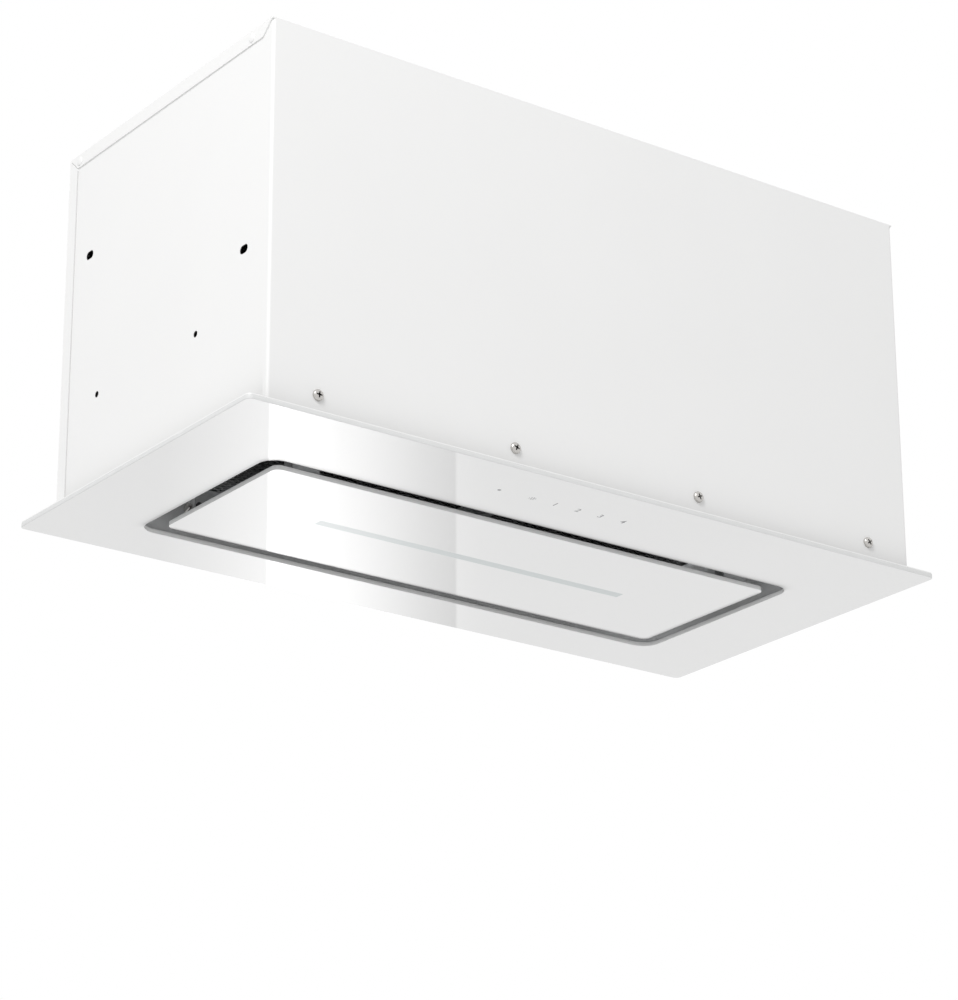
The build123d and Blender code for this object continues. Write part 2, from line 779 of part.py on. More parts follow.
for side, hand in ((-1, "left"), (1, "right")):
    with BuildPart() as hinge_bracket:
        with BuildSketch(Plane.YZ.offset(side * bracket_ear_x)):
            with Locations((hinge_y, hinge_z)):
                Circle(hinge_ear_radius)
            with Locations((hinge_y, (hinge_z + bracket_flange_z) / 2)):
                Rectangle(2 * hinge_ear_radius, bracket_flange_z - hinge_z)
            with Locations((hinge_y, hinge_z)):
                Circle(hinge_pin_radius + hinge_running_clearance, mode=Mode.SUBTRACT)
        extrude(amount=side * bracket_sheet)
        with BuildSketch(Plane.XZ.offset(-hinge_y)):
            with BuildLine():
                Polyline(
                    (side * bracket_ear_x, bracket_flange_z),
                    (side * liner_wall_x, bracket_flange_z),
                    (side * liner_wall_x, bracket_flange_z + bracket_upstand),
                    (side * (liner_wall_x - bracket_sheet), bracket_flange_z + bracket_upstand),
                    (side * (liner_wall_x - bracket_sheet), bracket_flange_z + bracket_sheet),
                    (side * bracket_ear_x, bracket_flange_z + bracket_sheet),
                    close=True,
                )
            make_face()
        extrude(amount=hinge_ear_radius, both=True)
    hinge_bracket.part.label = f"hinge_bracket_{hand}"
    export_step(hinge_bracket.part, f"parts/hinge_bracket_{hand}.step")

# ---------------------------------------------------------------- catches

catch_front_y = panel_front_y + catch_setback
catch_x = panel_length / 2 - catch_inset - catch_width / 2
catch_centre = [(side * catch_x, catch_front_y + catch_depth / 2) for side in (-1, 1)]
with BuildPart() as catch_strikers:
    with BuildSketch(Plane.XY.offset(glass_thickness)):
        with Locations(*catch_centre):
            RectangleRounded(catch_width, catch_depth, 1)
    extrude(amount=striker_sheet)
catch_strikers.part.label = "catch_strikers"
export_step(catch_strikers.part, "parts/catch_strikers.step")

# Each block has a pole plate at its front, set off by a groove down both sides.
magnet_bottom_z = glass_thickness + striker_sheet + catch_air_gap
groove_y = catch_front_y + pole_plate + pole_groove_width / 2
with BuildPart() as catch_magnets:
    with BuildSketch(Plane.XY.offset(magnet_bottom_z)):
        with Locations(*catch_centre):
            RectangleRounded(catch_width, catch_depth, 0.8)
        for x, y in catch_centre:
            with Locations((x - catch_width / 2, groove_y), (x + catch_width / 2, groove_y)):
                Rectangle(2 * pole_groove_depth, pole_groove_width, mode=Mode.SUBTRACT)
    extrude(amount=catch_top_z - magnet_bottom_z)
catch_magnets.part.label = "catch_magnets"
export_step(catch_magnets.part, "parts/catch_magnets.step")

with BuildPart() as catch_brackets:
    for x, y in catch_centre:
        with BuildSketch(Plane.YZ.offset(x)):
            with BuildLine():
                Polyline(
                    (catch_front_y + catch_depth, catch_top_z),
                    (liner_front_y, catch_top_z),
                    (liner_front_y, catch_top_z + catch_upstand),
                    (liner_front_y + bracket_sheet, catch_top_z + catch_upstand),
                    (liner_front_y + bracket_sheet, catch_top_z + bracket_sheet),
                    (catch_front_y + catch_depth, catch_top_z + bracket_sheet),
                    close=True,
                )
            make_face()
        extrude(amount=catch_width / 2, both=True)
catch_brackets.part.label = "catch_brackets"
export_step(catch_brackets.part, "parts/catch_brackets.step")

# ---------------------------------------------------------------- light strip

housing_width = light_width + 2 * light_housing_side
housing_length = light_length + 2 * light_housing_end
with BuildPart() as led_housing:
    with BuildSketch(Plane.XY.offset(tray_top_z)):
        with Locations((0, panel_centre_y)):
            Rectangle(housing_length, housing_width)
    extrude(amount=light_housing_height)
    chamfer(edges().filter_by(Axis.X).group_by(Axis.Z)[-1], 2)
    with BuildSketch(Plane.XY.offset(tray_top_z)):
        with Locations((0, panel_centre_y)):
            Rectangle(housing_length - 2 * light_housing_wall, housing_width - 2 * light_housing_wall)
    extrude(amount=light_housing_height - 2 * light_housing_wall, mode=Mode.SUBTRACT)
led_housing.part.label = "led_housing"
export_step(led_housing.part, "parts/led_housing.step")

with BuildPart() as led_lens:
    with BuildSketch(Plane.XY.offset(glass_thickness)):
        with Locations((0, panel_centre_y)):
            Rectangle(light_length, light_width)
    extrude(amount=light_lens_height)
    # Flange that rests on the tray inside the housing
    with BuildSketch(Plane.XY.offset(tray_top_z)):
        with Locations((0, panel_centre_y)):
            Rectangle(light_length + 2 * light_lens_flange, light_width + 2 * light_lens_flange)
    extrude(amount=light_lens_flange_thickness)
led_lens.part.label = "led_lens"
export_step(led_lens.part, "parts/led_lens.step")

led_board_z = tray_top_z + light_housing_height - 2 * light_housing_wall - board_thickness
with BuildPart() as led_board:
    with BuildSketch(Plane.XY.offset(led_board_z)):
        with Locations((0, panel_centre_y)):
            Rectangle(light_length + light_chip + 5, light_width + 4)
    extrude(amount=board_thickness)
    with BuildSketch(Plane.XY.offset(led_board_z)):
        with Locations((0, panel_centre_y)):
            with GridLocations(light_length / light_count, 1, light_count, 1):
                Rectangle(light_chip, light_chip)
    extrude(amount=-light_chip_height)
led_board.part.label = "led_board"
export_step(led_board.part, "parts/led_board.step")

# ================================================================ blower

shaft_plane = Plane(origin=(0, shaft_y, shaft_z), x_dir=(1, 0, 0), z_dir=(0, -1, 0))
shaft_axis = Axis((0, shaft_y, shaft_z), (1, 0, 0))
tongue_height = scroll_start_radius - scroll_step / 2
channel_top = top_underside_z - shaft_z + 10


# The air's own outline: three quarter arcs, each one step larger, running up into the outlet
half_step = scroll_step / 2
first, second, third = (scroll_start_radius + turn * scroll_step for turn in range(3))
quarters = [
    ((half_step, -half_step), first), ((-half_step, -half_step), second), ((-half_step, half_step), third)
]
nose = (channel_inner + tongue_radius, tongue_height + tongue_radius)
with BuildSketch() as air:
    with BuildLine():
        for turn, (centre, radius) in enumerate(quarters):
            CenterArc(centre, radius, 90 - 90 * turn, -90)
        Polyline(
            (channel_outer, half_step), (channel_outer, channel_top),
            (channel_inner, channel_top), (channel_inner, nose[1]),
        )
        CenterArc(nose, tongue_radius, 180, 90)
        Line((nose[0], tongue_height), (half_step, tongue_height))
    make_face()


def scroll_plane(x):
    """YZ plane at x with its origin on the shaft."""
    return Plane(origin=(x, shaft_y, shaft_z), x_dir=(0, 1, 0), z_dir=(1, 0, 0))


def polar(reach, angle):
    """Point at a reach and an angle in degrees from the shaft."""
    return (reach * cos(radians(angle)), reach * sin(radians(angle)))


def ear_place(angle):
    """Centre of a joint screw, just outside the scroll's wall at an angle between 90 and -180."""
    centre, radius = quarters[int((90 - angle) // 90)]
    along = Vector(*centre).dot(Vector(*polar(1, angle)))
    wall = along + (radius**2 - Vector(*centre).length ** 2 + along**2) ** 0.5 + scroll_wall
    return polar(wall + small_head_radius + ear_clearance, angle)


ear_clearance = 0.6
ear_radius = small_head_radius + 3
arm_angles = (90, 210, 330)
motor_screw_angles = (30, 150, 270)
ear_centres = [ear_place(angle) for angle in ear_angles]
boss_centres = [polar(bush_circle_radius, angle) for angle in arm_angles]
motor_screw_centres = [polar(motor_screw_circle, angle) for angle in motor_screw_angles]
pilot_radius = small_shank_radius + pilot_clearance
inlet_lip = 1.5
with BuildPart() as scroll_right:
    with BuildSketch(scroll_plane(0)):
        add(air.sketch)
        offset(amount=scroll_wall)
    extrude(amount=scroll_half_width + scroll_wall)
    # Lip and screw ears at the joint
    with BuildSketch(scroll_plane(0)):
        add(air.sketch)
        offset(amount=scroll_wall + scroll_lip)
        with Locations(*ear_centres):
            Circle(ear_radius)
    extrude(amount=scroll_lip_thickness)
    with BuildSketch(scroll_plane(0)):
        add(air.sketch)
    extrude(amount=scroll_half_width, mode=Mode.SUBTRACT)
    # Everything stops under the top sheet
    split(bisect_by=Plane.XY.offset(top_underside_z), keep=Keep.BOTTOM)
    # Outlet flange
    flange_reach = outlet_screw_reach + flange_margin
    channel_centre_y = shaft_y + (channel_outer + channel_inner) / 2
    with BuildSketch(Plane.XY.offset(top_underside_z)):
        with Locations((flange_reach / 2, outlet_y)):
            Rectangle(flange_reach, 2 * flange_reach)
        with Locations((scroll_half_width / 2, channel_centre_y)):
            Rectangle(scroll_half_width, outlet_width, mode=Mode.SUBTRACT)
        for end in (-1, 1):
            with Locations((outlet_screw_reach, outlet_y + end * outlet_screw_reach)):
                Circle(screw_shank_radius + pilot_clearance / 2, mode=Mode.SUBTRACT)
    extrude(amount=-outlet_base_thickness)
    # Inlet hole with a rounded bell mouth
    with BuildSketch(scroll_plane(scroll_half_width)):
        Circle(inlet_mouth_radius)
    extrude(amount=scroll_wall, mode=Mode.SUBTRACT)
    with BuildSketch(shaft_plane):
        with BuildLine():
            mouth_x = scroll_half_width + scroll_wall
            throat_x = impeller_half_width - inlet_dip
            Line((mouth_x, inlet_mouth_radius), (mouth_x - scroll_wall, inlet_mouth_radius))
            ThreePointArc(
                (mouth_x - scroll_wall, inlet_mouth_radius),
                (mouth_x - 2 * scroll_wall, inlet_throat_radius + inlet_flare / 2),
                (throat_x, inlet_throat_radius + inlet_lip),
            )
            Line((throat_x, inlet_throat_radius + inlet_lip), (throat_x, inlet_throat_radius))
            ThreePointArc(
                (throat_x, inlet_throat_radius),
                (mouth_x - scroll_wall, inlet_throat_radius + inlet_flare / 3),
                (mouth_x, inlet_mouth_radius),
            )
        make_face()
    revolve(axis=shaft_axis)
    # Pilot holes for the bracket and the joint screws
    with BuildSketch(scroll_plane(scroll_half_width)):
        with Locations(*boss_centres):
            Circle(pilot_radius)
    extrude(amount=scroll_wall, mode=Mode.SUBTRACT)
    with BuildSketch(scroll_plane(0)):
        with Locations(*ear_centres):
            Circle(pilot_radius)
    extrude(amount=scroll_lip_thickness, mode=Mode.SUBTRACT)
scroll_right.part.label = "scroll_right"
export_step(scroll_right.part, "parts/scroll_right.step")

with BuildPart() as scroll_left:
    mirror(scroll_right.part, about=Plane.YZ)
scroll_left.part.label = "scroll_left"
export_step(scroll_left.part, "parts/scroll_left.step")

with BuildPart() as scroll_screws:
    for y, z in ear_centres:
        with Locations(along_x(scroll_lip_thickness, shaft_y + y, shaft_z + z)):
            add(
                pan_head(
                    small_head_radius, small_head_height, small_shank_radius, 2 * scroll_lip_thickness + 4
                )
            )
scroll_screws.part.label = "scroll_screws"
export_step(scroll_screws.part, "parts/scroll_screws.step")

# One forward curved blade section, between the wheel's inner and outer radius
with BuildSketch() as blade:
    with BuildLine():
        root_end = Vector(impeller_inner_radius + blade_margin, 0)
        tip_end = Vector(impeller_radius - blade_margin, blade_lead)
        thickness = Vector(0, -blade_thickness)
        RadiusArc(root_end, tip_end, blade_radius)
        Line(tip_end, tip_end + thickness)
        RadiusArc(tip_end + thickness, root_end + thickness, -blade_radius)
        Line(root_end + thickness, root_end)
    make_face()

# Double inlet wheel: curved blades between two end rings, on a disc with a hub
with BuildPart() as impeller:
    with BuildSketch(scroll_plane(-wheel_sheet / 2)):
        Circle(impeller_radius)
        Circle(shaft_radius + shaft_fit, mode=Mode.SUBTRACT)
    extrude(amount=wheel_sheet)
    with BuildSketch(scroll_plane(-hub_length)):
        Circle(hub_radius)
        Circle(shaft_radius + shaft_fit, mode=Mode.SUBTRACT)
    extrude(amount=hub_length)
    for ring_x in (-impeller_half_width, impeller_half_width - wheel_sheet):
        with BuildSketch(scroll_plane(ring_x)):
            Circle(impeller_radius)
            Circle(impeller_inner_radius, mode=Mode.SUBTRACT)
        extrude(amount=wheel_sheet)
    with BuildSketch(scroll_plane(-impeller_half_width)):
        with PolarLocations(0, blade_count):
            add(blade.sketch)
    extrude(amount=2 * impeller_half_width)
impeller.part.label = "impeller"
export_step(impeller.part, "parts/impeller.step")

motor_end_x = scroll_half_width + scroll_wall + bush_height
shaft_start_x = -(hub_length + shaft_radius)
shaft_end_x = motor_end_x + bracket_plate - 0.5
with BuildPart() as motor_shaft:
    with BuildSketch(scroll_plane(shaft_start_x)):
        Circle(shaft_radius)
    extrude(amount=shaft_end_x - shaft_start_x)
    chamfer(edges().filter_by(GeomType.CIRCLE), 0.5)
motor_shaft.part.label = "motor_shaft"
export_step(motor_shaft.part, "parts/motor_shaft.step")

shaft_hole_radius = shaft_radius + 1
with BuildPart() as motor_body:
    with BuildSketch(shaft_plane):
        with BuildLine():
            boss_x = motor_start_x - motor_boss
            Polyline(
                (boss_x, shaft_hole_radius),
                (boss_x, bearing_radius + motor_boss),
                (motor_start_x, bearing_radius + motor_boss + 2),
                (motor_start_x, motor_radius - 5),
                (motor_start_x + 5, motor_radius),
                (motor_end_x - 18, motor_radius),
                (motor_end_x - 12, motor_radius - 8),
                (motor_end_x, motor_radius - 12),
                (motor_end_x, shaft_hole_radius),
                close=True,
            )
        make_face()
    revolve(axis=shaft_axis)
    for seat_x in (boss_x, motor_end_x - bearing_width):
        with BuildSketch(scroll_plane(seat_x)):
            Circle(bearing_radius + seat_clearance)
        extrude(amount=bearing_width, mode=Mode.SUBTRACT)
    # Cooling slots round the shell
    for slot_angle in range(0, 360, 30):
        slot_plane = Plane(
            origin=(motor_start_x + 22, shaft_y, shaft_z),
            x_dir=(1, 0, 0),
            z_dir=(0, cos(radians(slot_angle)), sin(radians(slot_angle))),
        )
        with BuildSketch(slot_plane.offset(motor_radius)):
            Rectangle(20, 4)
        extrude(amount=-2.5, mode=Mode.SUBTRACT)
    with BuildSketch(scroll_plane(motor_end_x)):
        with Locations(*motor_screw_centres):
            Circle(pilot_radius)
    extrude(amount=-(motor_screw_depth + 2), mode=Mode.SUBTRACT)
motor_body.part.label = "motor_body"
export_step(motor_body.part, "parts/motor_body.step")

with BuildPart() as motor_bearings:
    for seat_x in (boss_x, motor_end_x - bearing_width):
        with BuildSketch(scroll_plane(seat_x)):
            Circle(bearing_radius)
            Circle(shaft_radius + seat_clearance, mode=Mode.SUBTRACT)
        extrude(amount=bearing_width)
motor_bearings.part.label = "motor_bearings"
export_step(motor_bearings.part, "parts/motor_bearings.step")

# Three armed bracket that carries the motor in the right hand inlet
with BuildPart() as motor_bracket:
    with BuildSketch(scroll_plane(motor_end_x)):
        Circle(bracket_hub_radius)
        for arm_angle, (arm_y, arm_z) in zip(arm_angles, boss_centres):
            with Locations((arm_y, arm_z)):
                Circle(arm_width / 2)
            with Locations(Location((arm_y / 2, arm_z / 2), arm_angle)):
                Rectangle(bush_circle_radius, arm_width)
        Circle(shaft_radius + 3, mode=Mode.SUBTRACT)
        with Locations(*boss_centres, *motor_screw_centres):
            Circle(bush_bore_radius, mode=Mode.SUBTRACT)
    extrude(amount=bracket_plate)
motor_bracket.part.label = "motor_bracket"
export_step(motor_bracket.part, "parts/motor_bracket.step")

with BuildPart() as motor_bushes:
    for bush_y, bush_z in boss_centres:
        bush_axis = Axis((0, shaft_y + bush_y, shaft_z + bush_z), (1, 0, 0))
        bush_plane = Plane(
            origin=(scroll_half_width + scroll_wall, shaft_y + bush_y, shaft_z + bush_z),
            x_dir=(1, 0, 0),
            z_dir=(0, -1, 0),
        )
        with BuildSketch(bush_plane):
            with BuildLine():
                Polyline(
                    (0, bush_bore_radius),
                    (0, bush_radius),
                    (bush_height / 4, bush_radius),
                    (bush_height / 2, bush_waist_radius),
                    (bush_height * 3 / 4, bush_radius),
                    (bush_height, bush_radius),
                    (bush_height, bush_bore_radius),
                    close=True,
                )
            make_face()
        revolve(axis=bush_axis)
motor_bushes.part.label = "motor_bushes"
export_step(motor_bushes.part, "parts/motor_bushes.step")

bracket_face_x = motor_end_x + bracket_plate
bracket_screw_length = bracket_plate + bush_height + scroll_wall - 0.4
with BuildPart() as bracket_screws:
    for y, z in boss_centres:
        with Locations(along_x(bracket_face_x, shaft_y + y, shaft_z + z)):
            add(pan_head(small_head_radius, small_head_height, small_shank_radius, bracket_screw_length))
bracket_screws.part.label = "bracket_screws"
export_step(bracket_screws.part, "parts/bracket_screws.step")

motor_screw_length = bracket_plate + motor_screw_depth
with BuildPart() as motor_screws:
    for y, z in motor_screw_centres:
        with Locations(along_x(bracket_face_x, shaft_y + y, shaft_z + z)):
            add(pan_head(small_head_radius, small_head_height, small_shank_radius, motor_screw_length))
motor_screws.part.label = "motor_screws"
export_step(motor_screws.part, "parts/motor_screws.step")

# ================================================================ outlet collar and dampers

outlet_bore = outlet_radius - outlet_wall
seat_top_z = damper_z - damper_thickness / 2 - damper_seat_gap
with BuildPart() as outlet_spigot:
    with BuildSketch(Plane.XY.offset(casing_top_z)):
        with Locations((0, outlet_y)):
            RectangleRounded(outlet_base, outlet_base, outlet_base_corner)
            Circle(outlet_bore, mode=Mode.SUBTRACT)
            with GridLocations(2 * outlet_screw_reach, 2 * outlet_screw_reach, 2, 2):
                Circle(screw_shank_radius + screw_hole_clearance, mode=Mode.SUBTRACT)
    extrude(amount=outlet_base_thickness)
    with BuildSketch(Plane.XY.offset(top_underside_z)):
        with Locations((0, outlet_y)):
            Circle(outlet_radius)
            Circle(outlet_bore, mode=Mode.SUBTRACT)
    extrude(amount=outlet_top_z - top_underside_z)
    # Seat the dampers close on
    with BuildSketch(Plane.XY.offset(seat_top_z)):
        with Locations((0, outlet_y)):
            Circle(outlet_bore)
            Circle(outlet_bore - seat_ring, mode=Mode.SUBTRACT)
    extrude(amount=-seat_thickness)
    with BuildSketch(Plane.YZ.offset(-outlet_radius)):
        with Locations((outlet_y, damper_z)):
            Circle(damper_pin_radius + pilot_clearance / 2)
    extrude(amount=2 * outlet_radius, mode=Mode.SUBTRACT)
    chamfer(edges().filter_by(GeomType.CIRCLE).group_by(Axis.Z)[-1], 0.8)
outlet_spigot.part.label = "outlet_spigot"
export_step(outlet_spigot.part, "parts/outlet_spigot.step")

with BuildPart() as outlet_screws:
    with Locations((0, outlet_y, casing_top_z + outlet_base_thickness)):
        with GridLocations(2 * outlet_screw_reach, 2 * outlet_screw_reach, 2, 2):
            add(pan_head(screw_head_radius, screw_head_height, screw_shank_radius, outlet_screw_length))
outlet_screws.part.label = "outlet_screws"
export_step(outlet_screws.part, "parts/outlet_screws.step")

with BuildPart() as damper_pin:
    with BuildSketch(Plane.YZ.offset(-(outlet_radius - 0.5))):
        with Locations((outlet_y, damper_z)):
            Circle(damper_pin_radius)
    extrude(amount=2 * (outlet_radius - 0.5))
damper_pin.part.label = "damper_pin"
export_step(damper_pin.part, "parts/damper_pin.step")

# Each half disc swings up about the pin on two knuckles of its own.
damper_radius = outlet_bore - damper_side_gap
plate_edge = damper_knuckle_radius + knuckle_gap
knuckle_bore = damper_pin_radius + damper_running_clearance
knuckle_places = {"front": (-1, (-48.0, 26.0)), "rear": (1, (-26.0, 48.0))}
for name, (turn, knuckle_x) in knuckle_places.items():
    with BuildPart() as damper_flap:
        with BuildSketch(Plane.XY.offset(damper_z - damper_thickness / 2)):
            with Locations((0, outlet_y)):
                Circle(damper_radius)
            with Locations((0, outlet_y - turn * (damper_radius - plate_edge))):
                Rectangle(2 * damper_radius + 2, 2 * damper_radius, mode=Mode.SUBTRACT)
            for x in knuckle_x:
                with Locations((x, outlet_y + turn * (plate_edge + 1) / 2)):
                    Rectangle(knuckle_length, plate_edge + 1)
        extrude(amount=damper_thickness)
        for x in knuckle_x:
            with BuildSketch(Plane.YZ.offset(x - knuckle_length / 2)):
                with Locations((outlet_y, damper_z)):
                    Circle(damper_knuckle_radius)
            extrude(amount=knuckle_length)
            with BuildSketch(Plane.YZ.offset(x - knuckle_length / 2)):
                with Locations((outlet_y, damper_z)):
                    Circle(knuckle_bore)
            extrude(amount=knuckle_length, mode=Mode.SUBTRACT)
    damper_flap.part.label = f"damper_flap_{name}"
    export_step(damper_flap.part, f"parts/damper_flap_{name}.step")

# ================================================================ electrical pieces

strap_bore_radius = capacitor_radius + pilot_clearance
capacitor_z = top_underside_z - strap_wall - strap_bore_radius
tab_length, tab_width, tab_thickness, tab_spacing = 8.0, 6.0, 1.0, 10.0
with BuildPart() as capacitor:
    with BuildSketch(Plane.XZ.offset(-(capacitor_y - capacitor_length / 2))):
        with Locations((capacitor_x, capacitor_z)):
            Circle(capacitor_radius)
    extrude(amount=-capacitor_length)
    fillet(edges().filter_by(GeomType.CIRCLE), 2)
    with BuildSketch(Plane.XZ.offset(-(capacitor_y - capacitor_length / 2))):
        with Locations((capacitor_x, capacitor_z)):
            with GridLocations(tab_spacing, 1, 2, 1):
                Rectangle(tab_thickness, tab_width)
    extrude(amount=tab_length)
capacitor.part.label = "capacitor"
export_step(capacitor.part, "parts/capacitor.step")

with BuildPart() as capacitor_clip:
    with BuildSketch(Plane.XZ.offset(-capacitor_y)):
        with Locations((capacitor_x, capacitor_z)):
            Circle(strap_bore_radius + strap_wall)
        with Locations((capacitor_x, top_underside_z - strap_wall / 2)):
            Rectangle(2 * (capacitor_radius + strap_ear), strap_wall)
        with Locations((capacitor_x, capacitor_z)):
            Circle(strap_bore_radius, mode=Mode.SUBTRACT)
    extrude(amount=strap_width / 2, both=True)
capacitor_clip.part.label = "capacitor_clip"
export_step(capacitor_clip.part, "parts/capacitor_clip.step")

box_bottom_z = top_underside_z - power_box_height
box_centre = (power_box_x, power_box_y)
inside_length = power_box_length - 2 * power_box_wall
inside_depth = power_box_depth - 2 * power_box_wall
boss_spacing = (inside_length - 2 * boss_radius, inside_depth - 2 * boss_radius)
board_z = box_bottom_z + board_height
with BuildPart() as power_box:
    with BuildSketch(Plane.XY.offset(box_bottom_z)):
        with Locations(box_centre):
            RectangleRounded(power_box_length, power_box_depth, power_box_corner)
    extrude(amount=power_box_height)
    with BuildSketch(Plane.XY.offset(box_bottom_z)):
        with Locations(box_centre):
            RectangleRounded(inside_length, inside_depth, power_box_corner - power_box_wall)
    extrude(amount=power_box_height - power_box_wall, mode=Mode.SUBTRACT)
    # Corner bosses take the lid screws and carry the board
    with BuildSketch(Plane.XY.offset(board_z + board_thickness)):
        with Locations(box_centre):
            with GridLocations(*boss_spacing, 2, 2):
                Circle(boss_radius)
    extrude(amount=top_underside_z - power_box_wall - board_z - board_thickness)
    with BuildSketch(Plane.XY.offset(board_z + board_thickness)):
        with Locations(box_centre):
            with GridLocations(*boss_spacing, 2, 2):
                Circle(boss_hole_radius)
    extrude(amount=boss_hole_depth, mode=Mode.SUBTRACT)
power_box.part.label = "power_box"
export_step(power_box.part, "parts/power_box.step")

lid_hole_radius = boss_hole_radius + 2 * pilot_clearance
with BuildPart() as power_lid:
    with BuildSketch(Plane.XY.offset(box_bottom_z)):
        with Locations(box_centre):
            RectangleRounded(power_box_length, power_box_depth, power_box_corner)
    extrude(amount=-lid_thickness)
    # Spacer posts reach up to the board
    with BuildSketch(Plane.XY.offset(box_bottom_z)):
        with Locations(box_centre):
            with GridLocations(*boss_spacing, 2, 2):
                Circle(boss_radius - 0.3)
    extrude(amount=board_z - box_bottom_z)
    with BuildSketch(Plane.XY.offset(box_bottom_z - lid_thickness)):
        with Locations(box_centre):
            with GridLocations(*boss_spacing, 2, 2):
                Circle(lid_hole_radius)
    extrude(amount=board_z - box_bottom_z + lid_thickness, mode=Mode.SUBTRACT)
power_lid.part.label = "power_lid"
export_step(power_lid.part, "parts/power_lid.step")

lid_screw_length = lid_thickness + board_z - box_bottom_z + board_thickness + 8
with BuildPart() as lid_screws:
    lid_face = Plane(
        origin=(*box_centre, box_bottom_z - lid_thickness), x_dir=(1, 0, 0), z_dir=(0, 0, -1)
    )
    with Locations(lid_face):
        with GridLocations(*boss_spacing, 2, 2):
            add(
                pan_head(
                    small_head_radius,
                    small_head_height,
                    boss_hole_radius - pilot_clearance,
                    lid_screw_length,
                )
            )
lid_screws.part.label = "lid_screws"
export_step(lid_screws.part, "parts/lid_screws.step")

# Board and what stands on it, as (x, y, length, depth, height) from the board's centre
components = {
    "transformer": (-52, 20, 38, 34, 24),
    "filter_choke": (-52, -28, 30, 20, 15),
    "relay_front": (-8, -28, 28, 12, 16),
    "relay_rear": (-8, 26, 28, 12, 16),
    "terminal_block": (62, 0, 14, 60, 14),
    "smoothing_capacitor": (24, 20, 12, 12, 18),
    "fuse": (24, -18, 16, 20, 10),
}
with BuildPart() as power_board:
    with BuildSketch(Plane.XY.offset(board_z)):
        with Locations(box_centre):
            RectangleRounded(
                inside_length - 2 * board_clearance,
                inside_depth - 2 * board_clearance,
                power_box_corner - power_box_wall,
            )
            with GridLocations(*boss_spacing, 2, 2):
                Circle(lid_hole_radius, mode=Mode.SUBTRACT)
    extrude(amount=board_thickness)
    for x, y, length, depth, height in components.values():
        with BuildSketch(Plane.XY.offset(board_z + board_thickness)):
            with Locations((power_box_x + x, power_box_y + y)):
                Rectangle(length, depth)
        extrude(amount=height)
power_board.part.label = "power_board"
export_step(power_board.part, "parts/power_board.step")

with BuildPart() as led_driver:
    with BuildSketch(Plane.XY.offset(top_underside_z)):
        with Locations((driver_x, driver_y)):
            RectangleRounded(driver_length, driver_depth, driver_corner)
    extrude(amount=-driver_height)
    fillet(faces().sort_by(Axis.Z)[0].edges(), 2)
    with BuildSketch(Plane.XY.offset(top_underside_z)):
        with Locations((driver_x, driver_y)):
            SlotOverall(driver_length + 2 * driver_ear, driver_ear)
            with GridLocations(driver_length + driver_ear + 2, 1, 2, 1):
                Circle(screw_shank_radius + screw_hole_clearance, mode=Mode.SUBTRACT)
    extrude(amount=-driver_ear_thickness)
led_driver.part.label = "led_driver"
export_step(led_driver.part, "parts/led_driver.step")

with BuildPart() as touch_carrier:
    carrier_length = touch_window_length + 2 * carrier_margin
    carrier_depth = touch_window_depth + 2 * carrier_margin
    with BuildSketch(Plane.XY.offset(tray_top_z)):
        with Locations((touch_centre_x, touch_key_y)):
            RectangleRounded(carrier_length, carrier_depth, touch_window_corner)
            Rectangle(touch_window_length, touch_window_depth, mode=Mode.SUBTRACT)
    extrude(amount=touch_board_z - tray_top_z)
    with BuildSketch(Plane.XY.offset(touch_board_z)):
        with Locations((touch_centre_x, touch_key_y)):
            RectangleRounded(carrier_length, carrier_depth, touch_window_corner)
            Rectangle(
                carrier_length - 2 * carrier_wall, carrier_depth - 2 * carrier_wall, mode=Mode.SUBTRACT
            )
    extrude(amount=carrier_rim)
touch_carrier.part.label = "touch_carrier"
export_step(touch_carrier.part, "parts/touch_carrier.step")

with BuildPart() as touch_board:
    with BuildSketch(Plane.XY.offset(touch_board_z)):
        with Locations((touch_centre_x, touch_key_y)):
            Rectangle(
                carrier_length - 2 * carrier_wall - 2 * board_clearance,
                carrier_depth - 2 * carrier_wall - 2 * board_clearance,
            )
    extrude(amount=board_thickness)
    with BuildSketch(Plane.XY.offset(touch_board_z + board_thickness)):
        with Locations((touch_centre_x + 50, touch_key_y)):
            Rectangle(16, 8)
        with Locations((touch_centre_x - 20, touch_key_y)):
            Rectangle(12, 12)
    extrude(amount=3)
touch_board.part.label = "touch_board"
export_step(touch_board.part, "parts/touch_board.step")

with BuildPart() as touch_sensors:
    with BuildSketch(Plane.XY.offset(glass_thickness)):
        with Locations(*[(x, touch_key_y) for x in touch_key_x]):
            Circle(touch_ring_radius)
            Circle(touch_ring_bore, mode=Mode.SUBTRACT)
    extrude(amount=touch_board_z - glass_thickness)
touch_sensors.part.label = "touch_sensors"
export_step(touch_sensors.part, "parts/touch_sensors.step")

# Grommet: two flanges grip the sheet round a neck
grommet_plane = Plane(origin=(grommet_x, grommet_y, top_underside_z), x_dir=(1, 0, 0), z_dir=(0, -1, 0))
with BuildPart() as cable_grommet:
    with BuildSketch(grommet_plane):
        with BuildLine():
            rim = grommet_neck_radius + grommet_flange
            Polyline(
                (grommet_bore_radius, -grommet_collar),
                (rim - 1, -grommet_collar),
                (rim, 1 - grommet_collar),
                (rim, 0),
                (grommet_neck_radius, 0),
                (grommet_neck_radius, casing_sheet),
                (rim, casing_sheet),
                (rim - 1.5, casing_sheet + grommet_collar),
                (grommet_bore_radius, casing_sheet + grommet_collar),
                close=True,
            )
        make_face()
    revolve(axis=Axis((grommet_x, grommet_y, 0), (0, 0, 1)))
cable_grommet.part.label = "cable_grommet"
export_step(cable_grommet.part, "parts/cable_grommet.step")
